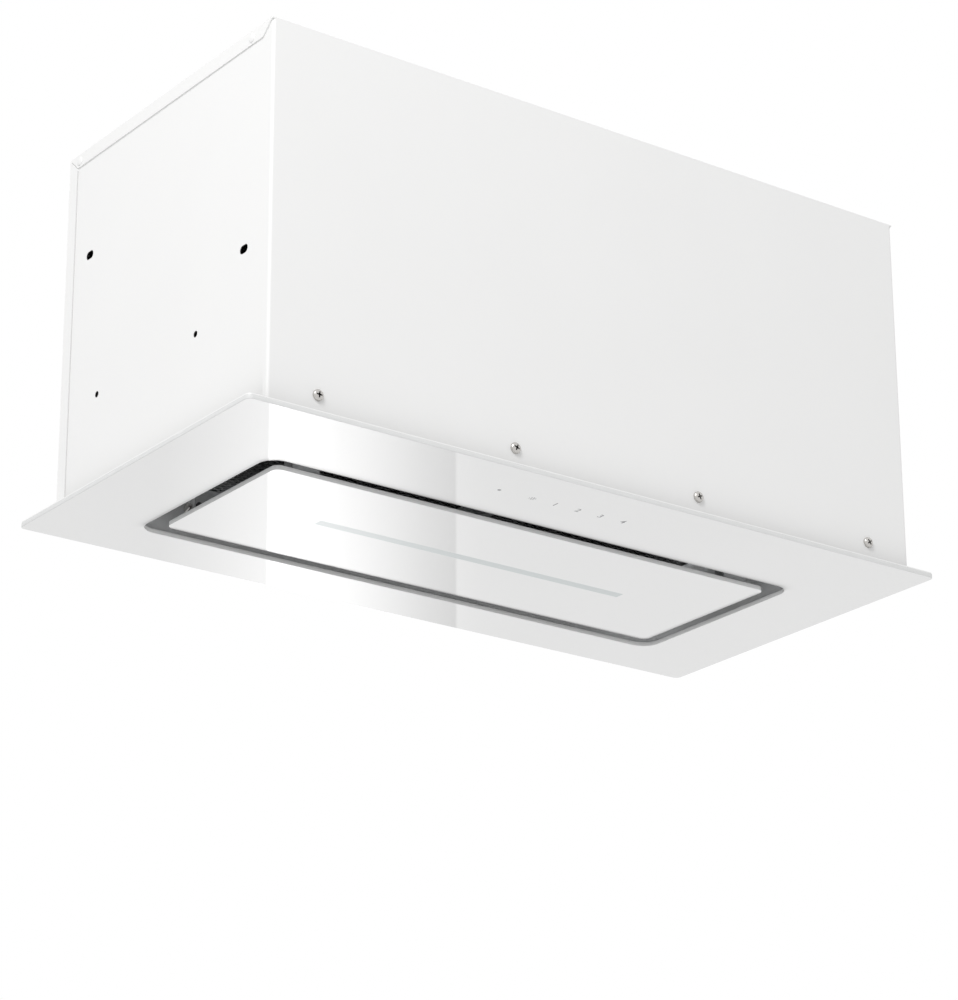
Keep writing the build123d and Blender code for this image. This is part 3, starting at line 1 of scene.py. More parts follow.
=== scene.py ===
"""Ceiling range hood: the glass, marks, fasteners and filter faces, the finish of each surface, and the studio.

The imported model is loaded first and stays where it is. Each operator makes or finishes one group of pieces.
Sizes are in metres, in the model's own frame: X runs along the hood, Y from its front to its rear, Z up.
"""

import math

import bmesh
import bpy
from bpy.props import FloatProperty, FloatVectorProperty, IntProperty, PointerProperty
from mathutils import Matrix, Vector


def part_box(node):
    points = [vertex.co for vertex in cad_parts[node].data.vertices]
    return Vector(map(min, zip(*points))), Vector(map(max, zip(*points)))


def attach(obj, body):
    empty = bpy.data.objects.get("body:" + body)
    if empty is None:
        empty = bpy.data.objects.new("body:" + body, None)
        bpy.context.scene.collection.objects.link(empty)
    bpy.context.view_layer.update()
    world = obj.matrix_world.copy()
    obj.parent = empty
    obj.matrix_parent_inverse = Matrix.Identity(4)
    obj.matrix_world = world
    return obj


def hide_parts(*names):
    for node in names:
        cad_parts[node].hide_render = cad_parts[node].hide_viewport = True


bl_info = {
    "name": "Ceiling Range Hood",
    "version": (1, 0, 0),
    "blender": (4, 5, 0),
    "location": "3D View > Sidebar > Range Hood",
    "description": "Builds the looks of a ceiling range hood around its packed model",
    "category": "Object",
}

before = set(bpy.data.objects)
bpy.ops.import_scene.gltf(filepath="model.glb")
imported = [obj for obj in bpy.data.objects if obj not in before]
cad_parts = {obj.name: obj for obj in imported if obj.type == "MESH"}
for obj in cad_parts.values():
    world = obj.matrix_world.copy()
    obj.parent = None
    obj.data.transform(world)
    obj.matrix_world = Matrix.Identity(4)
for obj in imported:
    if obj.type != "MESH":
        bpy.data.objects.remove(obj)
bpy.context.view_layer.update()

MM = 0.001
QUARTER = math.pi / 2
WHITE_LIGHT = (1, 1, 1, 1)


# --- Sizes and colours


def length(name, description, millimetres):
    """A length, given in millimetres."""
    metres = millimetres * MM
    return FloatProperty(name=name, description=description, default=metres, unit="LENGTH", precision=5)


def angle(name, description, degrees):
    """An angle, given in degrees."""
    return FloatProperty(name=name, description=description, default=math.radians(degrees), unit="ROTATION")


def place(name, description, *point):
    """A point, given in metres."""
    return FloatVectorProperty(
        name=name, description=description, default=point, size=3, unit="LENGTH", subtype="TRANSLATION"
    )


def colour(name, description, *shade):
    """A linear colour."""
    return FloatVectorProperty(
        name=name, description=description, default=shade, size=3, min=0, max=1, subtype="COLOR"
    )


class GlassSizes(bpy.types.PropertyGroup):
    """The two white panes."""

    face_corner: length("Face corner", "Corner radius of the face glass", 5)
    opening_corner: length("Opening corner", "Corner radius of the opening in the face glass", 16)
    panel_corner: length("Panel corner", "Corner radius of the suction panel", 7)
    edge_round: length("Edge rounding", "Radius of the polished edges of both panes", 0.3)
    window_inset: length("Window inset", "How far the clear window stops inside the light strip's lens", 3)
    window_corner: length("Window corner", "Corner radius of the light window", 0.8)
    mark_depth: length("Mark depth", "Depth from the lowest plane of the face to its glass", 0.03)
    paint: colour("Back paint", "White paint behind the glass", 0.92, 0.92, 0.917)
    # The inner edge colour is lighter than the outer one, as painted light against the shade inside the suction
    # gap
    outer_edge: colour("Outer edge", "Polished outer edge of the face glass", 0.74, 0.745, 0.742)
    inner_edge: colour("Inner edge", "Polished edges on both sides of the suction gap", 0.97, 0.975, 0.97)
    window: colour("Light window", "Frosted window over the light strip", 0.65, 0.69, 0.692)
    mark: colour("Touch marks", "Printed marks over the touch keys", 0.26, 0.265, 0.27)


class MarkSizes(bpy.types.PropertyGroup):
    """The marks over the touch keys."""

    key_reach: length("Key reach", "Half the width of one touch sensor", 5)
    key_pitch: length("Key pitch", "Distance between neighbouring numbered keys", 23.3)
    key_shift: length("Key shift", "How far the marks stand beside the middle of their keys", -1.8)
    digit_height: length("Digit height", "Height of the numbers", 6.6)
    dot_radius: length("Dot radius", "Radius of the power key's dot", 1.6)
    lamp_radius: length("Lamp radius", "Outer radius of the ring in the lamp mark", 1.7)
    ray_start: length("Ray start", "Where the lamp mark's rays start", 2.3)
    ray_end: length("Ray end", "Where the lamp mark's rays end", 3.3)
    stroke: length("Stroke", "Width of the marks' lines", 0.6)


class FastenerSizes(bpy.types.PropertyGroup):
    """Pan head screws and rivets."""

    head_radius: length("Head radius", "Radius of a pan head", 4.7)
    head_height: length("Head height", "Height of a pan head", 2.8)
    shank_radius: length("Shank radius", "Radius of a screw's shank", 1.9)
    shank_length: length("Shank length", "Length of a screw below its head", 9)
    rivet_radius: length("Rivet radius", "Radius of a rivet's dome", 3.8)
    rivet_height: length("Rivet height", "Height of a rivet's dome", 1)
    rivet_shank: length("Rivet shank", "Radius of a rivet's shank", 1.6)
    seed: IntProperty(name="Seed", description="Picks how far each screw is turned", default=7)


class FilterSizes(bpy.types.PropertyGroup):
    """Expanded metal in the two grease filters."""

    cell_length: length("Cell length", "Long way of a diamond", 12)
    cell_width: length("Cell width", "Short way of a diamond", 6)
    strand: length("Strand", "Width of a strand", 1.1)
    wadding_cell: length("Wadding cell", "Long way of a diamond in the layers behind", 8)
    wadding_strand: length("Wadding strand", "Width of a strand in the layers behind", 0.9)
    layers: IntProperty(name="Layers", description="Layers of mesh behind each face", default=4, min=1)
    seed: IntProperty(name="Seed", description="Picks how the layers behind are shifted", default=3)


class FinishColours(bpy.types.PropertyGroup):
    """Painted, plated and moulded surfaces."""

    paint: colour("Powder coat", "White powder coat on the casing", 0.87, 0.87, 0.866)
    zinc: colour("Zinc", "Zinc plated sheet inside the recess", 0.78, 0.785, 0.79)
    nickel: colour("Nickel", "Screws and hinge pins", 0.56, 0.545, 0.525)
    aluminium: colour("Aluminium", "Filters and capacitor can", 0.78, 0.79, 0.8)
    black: colour("Black plastic", "Blower housing", 0.022, 0.022, 0.024)
    grey: colour("Grey plastic", "Impeller, filter handles and carriers", 0.21, 0.22, 0.23)
    ivory: colour("Ivory plastic", "Power box", 0.72, 0.69, 0.6)


class StudioSizes(bpy.types.PropertyGroup):
    """Camera, lights and floor."""

    camera_place: place("Camera place", "Where the camera stands", -1.61662, -2.17957, -0.97542)
    camera_azimuth: angle("Camera azimuth", "Turn from +Y towards +X", 36.42837)
    camera_elevation: angle("Camera elevation", "Tilt above the horizon", 20.672)
    camera_roll: angle("Camera roll", "Turn about the view", -0.27188)
    camera_lens: FloatProperty(name="Lens", description="Focal length", default=123.3685, unit="CAMERA", min=1)
    day: FloatProperty(
        name="Room light",
        description="Strength of the even light of the room on the object",
        default=0.72,
        min=0,
        max=1,
        subtype="FACTOR",
    )
    lamp_power: FloatProperty(name="Lamp power", description="Power of the soft lamp", default=42, unit="POWER")
    lamp_size: length("Lamp size", "Side of the soft lamp", 1000)
    lamp_place: place("Lamp place", "Where the soft lamp hangs", -1.914, -1.442, 1.831)
    floor_drop: length("Floor drop", "How far the floor lies below the face", 2400)
    floor_reach: length("Floor reach", "Half the side of the floor", 30000)
    shadow_reach: length("Shadow reach", "Radius within which the floor shows its shadow", 1500)


# --- Node trees written as expressions


def operator(operation, swapped=False):
    """A method that adds a Math node on a signal and another value, which comes first when swapped."""

    def method(self, other):
        values = (other, self) if swapped else (self, other)
        return self.graph.math(operation, *values)

    return method


class Signal:
    """An output socket of a node. Sums on it add Math nodes to its tree."""

    def __init__(self, graph, socket):
        self.graph = graph
        self.socket = socket

    def output(self, name):
        """Another output of the same node."""
        return Signal(self.graph, self.socket.node.outputs[name])

    def math(self, operation, *rest):
        """A Math node on this value and the rest."""
        return self.graph.math(operation, self, *rest)

    __add__, __radd__ = operator("ADD"), operator("ADD", swapped=True)
    __sub__, __rsub__ = operator("SUBTRACT"), operator("SUBTRACT", swapped=True)
    __mul__, __rmul__ = operator("MULTIPLY"), operator("MULTIPLY", swapped=True)
    __truediv__, __rtruediv__ = operator("DIVIDE"), operator("DIVIDE", swapped=True)
    __mod__ = operator("FLOORED_MODULO")

    def size(self):
        """The distance from zero."""
        return self.math("ABSOLUTE")

    def beyond(self, low, high):
        """How far the value lies past the nearer of two limits: 0 between them."""
        return self - self.math("MAXIMUM", low).math("MINIMUM", high)

    def above(self, edge, blur):
        """0 below the edge and 1 above it, with a smooth step as wide as the blur."""
        return self.graph.node(
            "ShaderNodeMapRange",
            {"interpolation_type": "SMOOTHSTEP"},
            {"Value": self, "From Min": edge - blur / 2, "From Max": edge + blur / 2},
        )


class Graph:
    """A node tree that is filled in by calls."""

    def __init__(self, tree):
        self.tree = tree

    def node(self, kind, settings=None, inputs=None, output=0):
        """Adds a node of this kind. Its settings come first, then the values or links of its sockets."""
        made = self.tree.nodes.new(kind)
        for name, value in (settings or {}).items():
            if name == "stops":
                self.set_stops(made.color_ramp, value)
            else:
                setattr(made, name, value)
        for key, value in (inputs or {}).items():
            if isinstance(value, Signal):
                self.tree.links.new(value.socket, made.inputs[key])
            else:
                made.inputs[key].default_value = value
        return Signal(self, made.outputs[output]) if made.outputs else made

    def math(self, operation, *values):
        """A Math node on these values."""
        return self.node("ShaderNodeMath", {"operation": operation}, dict(enumerate(values)))

    @staticmethod
    def set_stops(ramp, stops):
        """Gives a colour ramp these (position, colour) stops."""
        while len(ramp.elements) < len(stops):
            ramp.elements.new(1)
        for element, (spot, shade) in zip(ramp.elements, stops):
            element.position = spot
            element.color = (*shade, 1)


class Finish(Graph):
    """A material made of nodes, laid out in the model's own coordinates."""

    def __init__(self, name):
        self.material = bpy.data.materials.new(name)
        self.material.use_nodes = True
        super().__init__(self.material.node_tree)
        self.tree.nodes.clear()
        self.place = self.node("ShaderNodeTexCoord", output="Object")
        self.x = self.node("ShaderNodeSeparateXYZ", None, {0: self.place}, "X")
        self.y = self.x.output("Y")
        self.z = self.x.output("Z")

    def noise(self, grain, detail=2, seed=0, stretch=None):
        """Cloudy noise from 0 to 1. Its blotches are about as large as the grain, in metres, and longer along
        an axis whose stretch is under 1."""
        where = self.place
        if stretch:
            inputs = {"Vector": self.place, "Scale": stretch}
            where = self.node("ShaderNodeMapping", {"vector_type": "POINT"}, inputs)
        inputs = {"Vector": where, "W": seed, "Scale": 1 / grain, "Detail": detail}
        return self.node("ShaderNodeTexNoise", {"noise_dimensions": "4D"}, inputs)

    def cells(self, grain):
        """Distance in a pattern of cells about as large as the grain, in metres."""
        return self.node("ShaderNodeTexVoronoi", None, {"Vector": self.place, "Scale": 1 / grain})

    def waves(self, profile, scale):
        """Bands of this profile along X."""
        settings = {"bands_direction": "X", "wave_profile": profile}
        return self.node("ShaderNodeTexWave", settings, {"Vector": self.place, "Scale": scale})

    def blend(self, amount, first, second):
        """The first colour where the amount is 0, the second where it is 1."""
        settings = {"data_type": "RGBA", "clamp_factor": True}
        return self.node("ShaderNodeMix", settings, {0: amount, 6: rgba(first), 7: rgba(second)}, output=2)

    def shade(self, tone, shade, low, high):
        """A colour between its darker and its lighter form, by a tone from 0 to 1."""
        return self.blend(tone, scaled(shade, low), scaled(shade, high))

    def bump(self, height, depth, strength=0.5):
        """A normal for relief of this depth, in metres."""
        return self.node("ShaderNodeBump", None, {"Strength": strength, "Distance": depth, "Height": height})

    def finish(self, tint, roughness, normal=None, **sockets):
        """Ends the material in a Principled shader."""
        sockets.update({"Base Color": rgba(tint), "Roughness": roughness})
        if normal:
            sockets["Normal"] = normal
        return self.end(self.node("ShaderNodeBsdfPrincipled", None, sockets))

    def end(self, shader):
        """Shows this shader on the surface."""
        self.node("ShaderNodeOutputMaterial", None, {"Surface": shader})
        return self.material


class Rule(Graph):
    """A Geometry Nodes tree with named inputs, run once to make a plain mesh."""

    def __init__(self, name, **inputs):
        super().__init__(bpy.data.node_groups.new(name, "GeometryNodeTree"))
        face = self.tree.interface
        kinds = {"Geometry": "Geometry", **inputs, "Finish": "Material"}
        for label, kind in kinds.items():
            face.new_socket(label, in_out="INPUT", socket_type="NodeSocket" + kind)
        face.new_socket("Geometry", in_out="OUTPUT", socket_type="NodeSocketGeometry")
        self.start = self.tree.nodes.new("NodeGroupInput")

    def given(self, label):
        """One of the tree's own inputs."""
        return Signal(self, self.start.outputs[label])

    def vector(self, x=0.0, y=0.0, z=0.0):
        """A vector of three values."""
        return self.node("ShaderNodeCombineXYZ", None, {0: x, 1: y, 2: z})

    def row(self, count, start, step):
        """Points in a straight row."""
        inputs = {"Count": count, "Start Location": start, "Offset": step}
        return self.node("GeometryNodeMeshLine", {"mode": "OFFSET"}, inputs)

    def moved(self, geometry, offset):
        """The geometry with each point moved by its own offset."""
        return self.node("GeometryNodeSetPosition", None, {"Geometry": geometry, "Offset": offset})

    def on_points(self, points, shape, **inputs):
        """The shape on each of the points."""
        inputs.update(Points=points, Instance=shape)
        return self.node("GeometryNodeInstanceOnPoints", None, inputs)

    def chance(self, most):
        """A random number for each point, from 0 to the most, picked by the tree's seed."""
        inputs = {3: most, "Seed": self.given("Seed")}
        return self.node("FunctionNodeRandomValue", {"data_type": "FLOAT"}, inputs, output=1)

    def end(self, geometry):
        """Makes the instances real, gives them their finish and ends the tree."""
        real = self.node("GeometryNodeRealizeInstances", None, {0: geometry})
        inputs = {"Geometry": real, "Material": self.given("Finish")}
        self.node("NodeGroupOutput", None, {0: self.node("GeometryNodeSetMaterial", None, inputs)})
        return self

    def make(self, name, carrier, **values):
        """Runs the tree on a carrier mesh and returns the result as an object with a plain mesh."""
        piece = linked(name, carrier)
        modifier = piece.modifiers.new(self.tree.name, "NODES")
        modifier.node_group = self.tree
        for item in self.tree.interface.items_tree:
            if item.in_out == "INPUT" and item.name in values:
                modifier[item.identifier] = values[item.name]
        mesh = shown_mesh(piece, name)
        piece.modifiers.clear()
        piece.data = mesh
        return piece


def rgba(value):
    """A colour of three numbers gets its alpha. A socket's value stays as it is."""
    return value if isinstance(value, Signal) else (*value, 1)


def scaled(shade, factor):
    """A colour made lighter or darker."""
    return tuple(min(1, part * factor) for part in shade)


# --- Mesh code


def linked(name, data, *materials):
    """A new object at the origin that shows this data, in these materials."""
    piece = bpy.data.objects.new(name, data)
    bpy.context.scene.collection.objects.link(piece)
    for material in materials:
        data.materials.append(material)
    return piece


def shown_mesh(piece, name):
    """What an object shows, as a plain mesh of this name."""
    seen = piece.evaluated_get(bpy.context.evaluated_depsgraph_get())
    mesh = bpy.data.meshes.new_from_object(seen)
    mesh.name = name
    return mesh


def plain_mesh(name, points, faces=()):
    """A mesh of these points and faces."""
    mesh = bpy.data.meshes.new(name)
    mesh.from_pydata(points, [], faces)
    return mesh


def rounded_outline(low, high, radius, z, inset=0.0, steps=10):
    """Points round a rectangle with round corners, against the clock seen from above, this far inside it."""
    radius -= inset
    left, front = low.x + inset + radius, low.y + inset + radius
    right, rear = high.x - inset - radius, high.y - inset - radius
    points = []
    for turn, x, y in ((-1, right, front), (0, right, rear), (1, left, rear), (2, left, front)):
        for step in range(steps + 1):
            a = turn * QUARTER + QUARTER * step / steps
            points.append((x + radius * math.cos(a), y + radius * math.sin(a), z))
    return points


def circle(radius, z, steps, centre=(0, 0)):
    """Points round a circle, against the clock seen from above."""
    angles = [2 * math.pi * step / steps for step in range(steps)]
    return [(centre[0] + radius * math.cos(a), centre[1] + radius * math.sin(a), z) for a in angles]


def arc(steps):
    """(cosine, sine) pairs of a quarter turn."""
    angles = [QUARTER * step / steps for step in range(steps + 1)]
    return [(math.cos(a), math.sin(a)) for a in angles]


def round_pairs(ring):
    """Each item of a closed ring with the next one."""
    return list(zip(ring, ring[1:] + ring[:1]))


def add_loops(mesh, loops, slots=None, closed=False, caps=False):
    """Joins loops of as many points each by rows of faces. Row i gets material slot slots[i]."""
    rings = [[mesh.verts.new(point) for point in loop] for loop in loops]
    pairs = list(zip(rings, rings[1:]))
    if closed:
        pairs.append((rings[-1], rings[0]))
    for row, (first, second) in enumerate(pairs):
        for (a, b), (d, c) in zip(round_pairs(first), round_pairs(second)):
            mesh.faces.new((a, b, c, d)).material_index = slots[row] if slots else 0
    if caps:
        mesh.faces.new(rings[0])
        mesh.faces.new(rings[-1])
    return rings


def finished_mesh(mesh, name, sharp=35):
    """Turns a bmesh into a mesh with outward faces, smooth but for edges sharper than this many degrees."""
    bmesh.ops.remove_doubles(mesh, verts=mesh.verts, dist=1e-7)
    bmesh.ops.recalc_face_normals(mesh, faces=mesh.faces)
    data = bpy.data.meshes.new(name)
    mesh.to_mesh(data)
    mesh.free()
    data.shade_smooth()
    data.set_sharp_from_angle(angle=math.radians(sharp))
    return data


def edge_profile(thickness, rounding):
    """(inset, height) pairs up a pane's rounded edge, with a flat lead at each end."""
    lead = 1.15 * rounding
    below = [(rounding * (1 - s), rounding * (1 - c)) for c, s in arc(4)]
    above = [(inset, thickness - height) for inset, height in reversed(below)]
    return [(lead, 0), *below, *above, (lead, thickness)]


def opening_of(node, margin=40 * MM):
    """Lowest and highest corner of a ring's opening: of the points further inside its box than the margin."""
    low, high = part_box(node)
    inner = [
        v.co
        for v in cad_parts[node].data.vertices
        if low.x + margin < v.co.x < high.x - margin and low.y + margin < v.co.y < high.y - margin
    ]
    return [Vector((pick(p.x for p in inner), pick(p.y for p in inner), 0)) for pick in (min, max)]


def seats_on(node, radius, height, axis, counts, sides):
    """A carrier mesh for fasteners in even rows on the faces of a node's box that cross this axis: a loose
    point for each seat, with its direction as an attribute."""
    low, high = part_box(node)
    rows = []
    for other, count in enumerate(counts):
        first, last = low[other] + radius, high[other] - radius
        rows.append([first + (last - first) * i / max(1, count - 1) for i in range(count)])
    seats, directions = [], []
    for side in sides:
        rows[axis] = [low[axis] + height if side < 0 else high[axis] - height]
        seats += [(x, y, z) for x in rows[0] for y in rows[1] for z in rows[2]]
        directions += [[side if other == axis else 0 for other in range(3)]] * (len(seats) - len(directions))
    mesh = plain_mesh(node, seats)
    facing = mesh.attributes.new("facing", "FLOAT_VECTOR", "POINT")
    for item, direction in zip(facing.data, directions):
        item.vector = direction
    return mesh


def revolve(mesh, profile, steps):
    """Turns (radius, height) pairs about Z. A radius of 0 closes the shape in a point."""
    rings = []
    for radius, height in profile:
        points = circle(radius, height, steps) if radius else [(0, 0, height)]
        rings.append([mesh.verts.new(point) for point in points])
    for first, second in zip(rings, rings[1:]):
        for i in range(steps):
            j = (i + 1) % steps
            corners = [(first, i), (first, j), (second, j), (second, i)]
            mesh.faces.new(list(dict.fromkeys(ring[k % len(ring)] for ring, k in corners)))
    return rings


def screw_template(sizes):
    """A pan head screw with a cross recess: its seat is at the origin and its head points up."""
    radius, height = sizes.head_radius, sizes.head_height
    shank, depth = sizes.shank_radius, sizes.shank_length
    flat, wall, recess_floor = 0.56 * radius, 0.3 * height, 0.3 * height
    shoulder = [(flat + (radius - flat) * c, wall + (height - wall) * s) for c, s in arc(6)]
    point = [(0, -depth), (0.6 * shank, -depth), (shank, -depth + 0.5 * shank)]
    mesh = bmesh.new()
    top = revolve(mesh, [*point, (shank, 0), (radius, 0), *shoulder], 40)[-1]

    def cross(arm, half, z):
        corners = []
        for turn in range(4):
            c, s = math.cos(turn * QUARTER), math.sin(turn * QUARTER)
            for x, y in ((half, -half), (arm, -0.8 * half), (arm, 0.8 * half)):
                corners.append(mesh.verts.new((x * c - y * s, x * s + y * c, z)))
        return corners

    mouth = cross(flat, 0.15 * radius, height)
    foot = cross(0.26 * radius, 0.09 * radius, recess_floor)
    recess = mesh.faces.layers.float.new("recess")
    for (a, b), (d, c) in zip(round_pairs(mouth), round_pairs(foot)):
        mesh.faces.new((a, b, c, d))[recess] = 1
    mesh.faces.new(foot)[recess] = 1
    edges = [mesh.edges.get(pair) for ring in (top, mouth) for pair in round_pairs(ring)]
    bmesh.ops.triangle_fill(mesh, use_beauty=True, edges=edges)
    return finished_mesh(mesh, "screw_template")


def rivet_template(sizes):
    """A low dome rivet: its seat is at the origin and its dome points up."""
    radius, height, shank = sizes.rivet_radius, sizes.rivet_height, sizes.rivet_shank
    rim, depth = 0.25 * height, 1.5 * height
    dome = [(radius * c, rim + (height - rim) * s) for c, s in arc(5)]
    dome[-1] = (0, height)
    mesh = bmesh.new()
    revolve(mesh, [(0, -depth), (shank, -depth), (shank, 0), (radius, 0), *dome], 36)
    return finished_mesh(mesh, "rivet_template", 50)


# --- Finishes


def powder_coat(name, paint, corner=None, lap=None):
    """White powder coat: a fine orange peel and a drifting tone. Given the front right corner of the folded
    walls, it carries a painted shade where they stand on the rim, and is painted near black behind the outer
    faces of the end walls, as painted shade inside their holes. Given the front top corner of the flange that
    laps an end wall, it is painted darker on the flange's cut edge: partly the bare cut edge, partly a painted
    shadow line of the lap."""
    f = Finish(name)
    peel = f.noise(1.1 * MM, detail=3)
    drift, speck = f.noise(90 * MM, seed=4), f.noise(0.6 * MM, detail=1, seed=9)
    coat = f.shade(drift * 0.5 + speck * 0.5, paint, 0.972, 1.02)
    if corner:
        bend, fade, depth, darkest = 6 * MM, 10.5 * MM, 0.29, 0.19
        past_front = f.y.above(corner.y + bend, MM)
        # Painted shade on the walls just above the rim, stronger past the front bend
        shade = ((corner.z - f.z) / fade).math("EXPONENT") * (1 + past_front) * depth
        coat = f.blend(shade.math("MINIMUM", darkest), coat, (0, 0, 0))
        # Painted shade: behind the outer faces of the end walls, and so inside their holes, the coat is painted
        # near black
        behind = (corner.x - f.x.size()).above(0.05 * MM, 0.02 * MM) * past_front
        coat = f.blend(behind, coat, (0.05, 0.05, 0.05))
    if lap:
        # Painted darker on the flange's cut edge where it laps the end wall: partly the bare cut edge, partly a
        # painted shadow line of the lap
        lap_edge_and_shadow = f.x.size().above(lap.x, 0.1 * MM) * (1 - f.y.above(lap.y + 0.1 * MM, 0.1 * MM))
        coat = f.blend(lap_edge_and_shadow * (1 - f.z.above(lap.z, MM)), coat, scaled(paint, 0.72))
    return f.finish(coat, 0.4 + peel * 0.12, f.bump(peel, 0.02 * MM, 0.55), IOR=1.45)


def painted_glass(name, paint, low, high, radius, outside):
    """Polished glass over white paint. It is painted darker near edges that face away from the photo's view,
    where that view meets the ground edge and not the paint. This doesn't follow the camera."""
    view_x, view_y, fade, depth = 0.593, 0.805, 2.7 * MM, 1.25
    f = Finish(name)
    speck, drift = f.noise(0.7 * MM, seed=2), f.noise(120 * MM, detail=1, seed=6)
    away_x = f.x.beyond(low.x + radius, high.x - radius)
    away_y = f.y.beyond(low.y + radius, high.y - radius)
    away = (away_x * away_x + away_y * away_y).math("SQRT")
    ahead = away_x * view_x + away_y * view_y
    if outside:
        facing, gap = ahead / away * -1, away - radius
    else:
        facing, gap = ahead / radius, radius - away
    # Painted shade: the glass is darkened near the edges that face away from one fixed view, and stays so from
    # every other side
    dark = (gap / -fade).math("EXPONENT") * facing.math("MAXIMUM", 0) * depth
    white = f.shade(speck * 0.7 + drift * 0.3, paint, 0.965, 1.03)
    return f.finish(f.blend(dark, white, (0.1, 0.1, 0.1)), 0.012, IOR=1.52)


def glass_edge(name, shade):
    """The ground edge of a pane: fine lines along it."""
    f = Finish(name)
    lines, blotch = f.noise(0.35 * MM, stretch=(0.02, 0.02, 1)), f.noise(12 * MM, detail=3, seed=3)
    tint = f.shade(lines * 0.75 + blotch * 0.25, shade, 0.86, 1.12)
    return f.finish(tint, 0.16 + lines * 0.2, f.bump(lines, 0.02 * MM), IOR=1.52)


def frosted_window(name, shade):
    """The light window: etched glass with the strip's lens close behind it, brighter along its long sides."""
    f = Finish(name)
    frost = f.noise(0.5 * MM)
    dim_half, blur = 4.2 * MM, 1.2 * MM
    across = (f.y - sum(corner.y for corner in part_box("led_lens")) / 2).size()
    tone = across.above(dim_half, blur) * 0.5 + frost * 0.12
    return f.finish(f.blend(tone, shade, scaled(shade, 1.18)), 0.16 + frost * 0.1, IOR=1.5)


def zinc_sheet(name, shade):
    """Zinc plated sheet: pale crystals, rolling lines along X and a soft gloss."""
    f = Finish(name)
    crystal = f.node("ShaderNodeSeparateColor", None, {0: f.cells(9 * MM).output("Color")}, "Red")
    rolling = f.noise(0.8 * MM, stretch=(0.03, 1, 1))
    tint = f.shade(crystal * 0.4 + rolling * 0.6, shade, 0.95, 1.05)
    return f.finish(tint, 0.46 + crystal * 0.08, f.bump(rolling, 0.01 * MM, 0.4), Metallic=0.3)


def plated(name, shade, roughness):
    """Nickel or zinc plating with faint turning marks. A screw's cross recess is painted darker, as painted
    shade.
    """
    f = Finish(name)
    turning, stain = f.noise(0.3 * MM), f.noise(4 * MM, seed=5)
    recess = f.node("ShaderNodeAttribute", {"attribute_name": "recess"}, output="Fac")
    # Painted shade: the faces of the cross recess get a much darker colour
    tint = f.blend(recess, f.shade(stain, shade, 0.86, 1.12), scaled(shade, 0.3))
    return f.finish(tint, roughness + turning * 0.12, f.bump(turning, 0.01 * MM), Metallic=1.0)


def brushed_metal(name, shade, along, roughness=0.3, metallic=0.95):
    """Rolled or drawn metal whose fine lines run along one axis."""
    f = Finish(name)
    lines = f.noise(0.5 * MM, detail=3, stretch=[0.02 if axis == along else 1 for axis in "XYZ"])
    cloud = f.noise(30 * MM, seed=8)
    tint = f.shade(lines * 0.7 + cloud * 0.3, shade, 0.84, 1.1)
    return f.finish(tint, roughness + lines * 0.14, f.bump(lines, 0.01 * MM, 0.6), Metallic=metallic)


def grained(name, shade, tones, gloss, grain, depth, detail=2, cloud=None, **sockets):
    """A skin with a fine grain, whose gloss is (least roughness, what the grain adds). Its tone is between the
    two given, and follows the grain, or else clouds of (size, seed)."""
    f = Finish(name)
    fine = f.noise(grain, detail)
    tone = f.noise(cloud[0], seed=cloud[1]) if cloud else fine
    normal = f.bump(fine, depth) if depth else None
    return f.finish(f.shade(tone, shade, *tones), gloss[0] + fine * gloss[1], normal, **sockets)


def moulded_plastic(name, shade, roughness=0.45):
    """Moulded plastic with the fine spark grain of its mould."""
    return grained(name, shade, (0.88, 1.12), (roughness, 0.15), 0.9 * MM, 0.04 * MM, cloud=(50 * MM, 7))


def soft_rubber(name, shade):
    """Dull rubber with a fine bloom."""
    f = Finish(name)
    bloom, skin = f.noise(2 * MM, detail=3), f.noise(0.5 * MM, seed=2)
    return f.finish(f.shade(bloom, shade, 0.8, 1.35), 0.7 + bloom * 0.15, f.bump(skin, 0.03 * MM))


def circuit_board(name, mask, copper):
    """Solder mask over copper tracks, with tinned pads."""
    f = Finish(name)
    rows = {"Scale": 90.0, "Mortar Size": 0.04, "Brick Width": 1.7, "Row Height": 0.35}
    track = f.node("ShaderNodeTexBrick", {"offset": 0.37, "squash": 0.8}, {"Vector": f.place, **rows}, "Fac")
    pad_pitch, pad_radius = 6.2 * MM, 0.16
    pads = 1 - f.cells(pad_pitch).above(pad_radius, 0.03)
    tint = f.blend(pads, f.blend(track, mask, copper), (0.62, 0.62, 0.6))
    return f.finish(tint, 0.38 - pads * 0.1, f.bump(track, 0.04 * MM, 0.6), Metallic=pads * 0.9)


def diffuser(name, shade):
    """Milky lens of the light strip with fine prisms across it."""
    f = Finish(name)
    haze = f.noise(10 * MM)
    prisms = f.bump(f.waves("SIN", 160), 0.08 * MM, 0.6)
    return f.finish(f.shade(haze, shade, 0.94, 1.04), 0.3 + haze * 0.1, prisms)


def open_foam(name, shade):
    """Conductive foam with open cells."""
    f = Finish(name)
    cells = f.cells(0.9 * MM)
    return f.finish(f.shade(cells, shade, 0.4, 1.5), 0.9, f.bump(cells, 0.3 * MM, 0.8))


def laminated_steel(name, shade, cast_shade):
    """Blower motor: stacked laminations in the middle, cast covers at both ends."""
    low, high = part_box("motor_body")
    f = Finish(name)
    cast = f.noise(1.2 * MM, detail=3)
    half_stack, blur = (high.x - low.x) * 0.26, 0.6 * MM
    cover = (f.x - (low.x + high.x) / 2).size().above(half_stack, blur)
    tint = f.blend(cover, f.shade(f.waves("SAW", 320), shade, 0.6, 1.2), cast_shade)
    return f.finish(tint, 0.34 + cast * 0.2, f.bump(cast, 0.06 * MM), Metallic=0.85)


def paint_nodes(material, *nodes):
    """Gives CAD nodes a finish in each of their material slots."""
    for node in nodes:
        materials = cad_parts[node].data.materials
        if not len(materials):
            materials.append(material)
        for i in range(len(materials)):
            materials[i] = material


# --- Operators


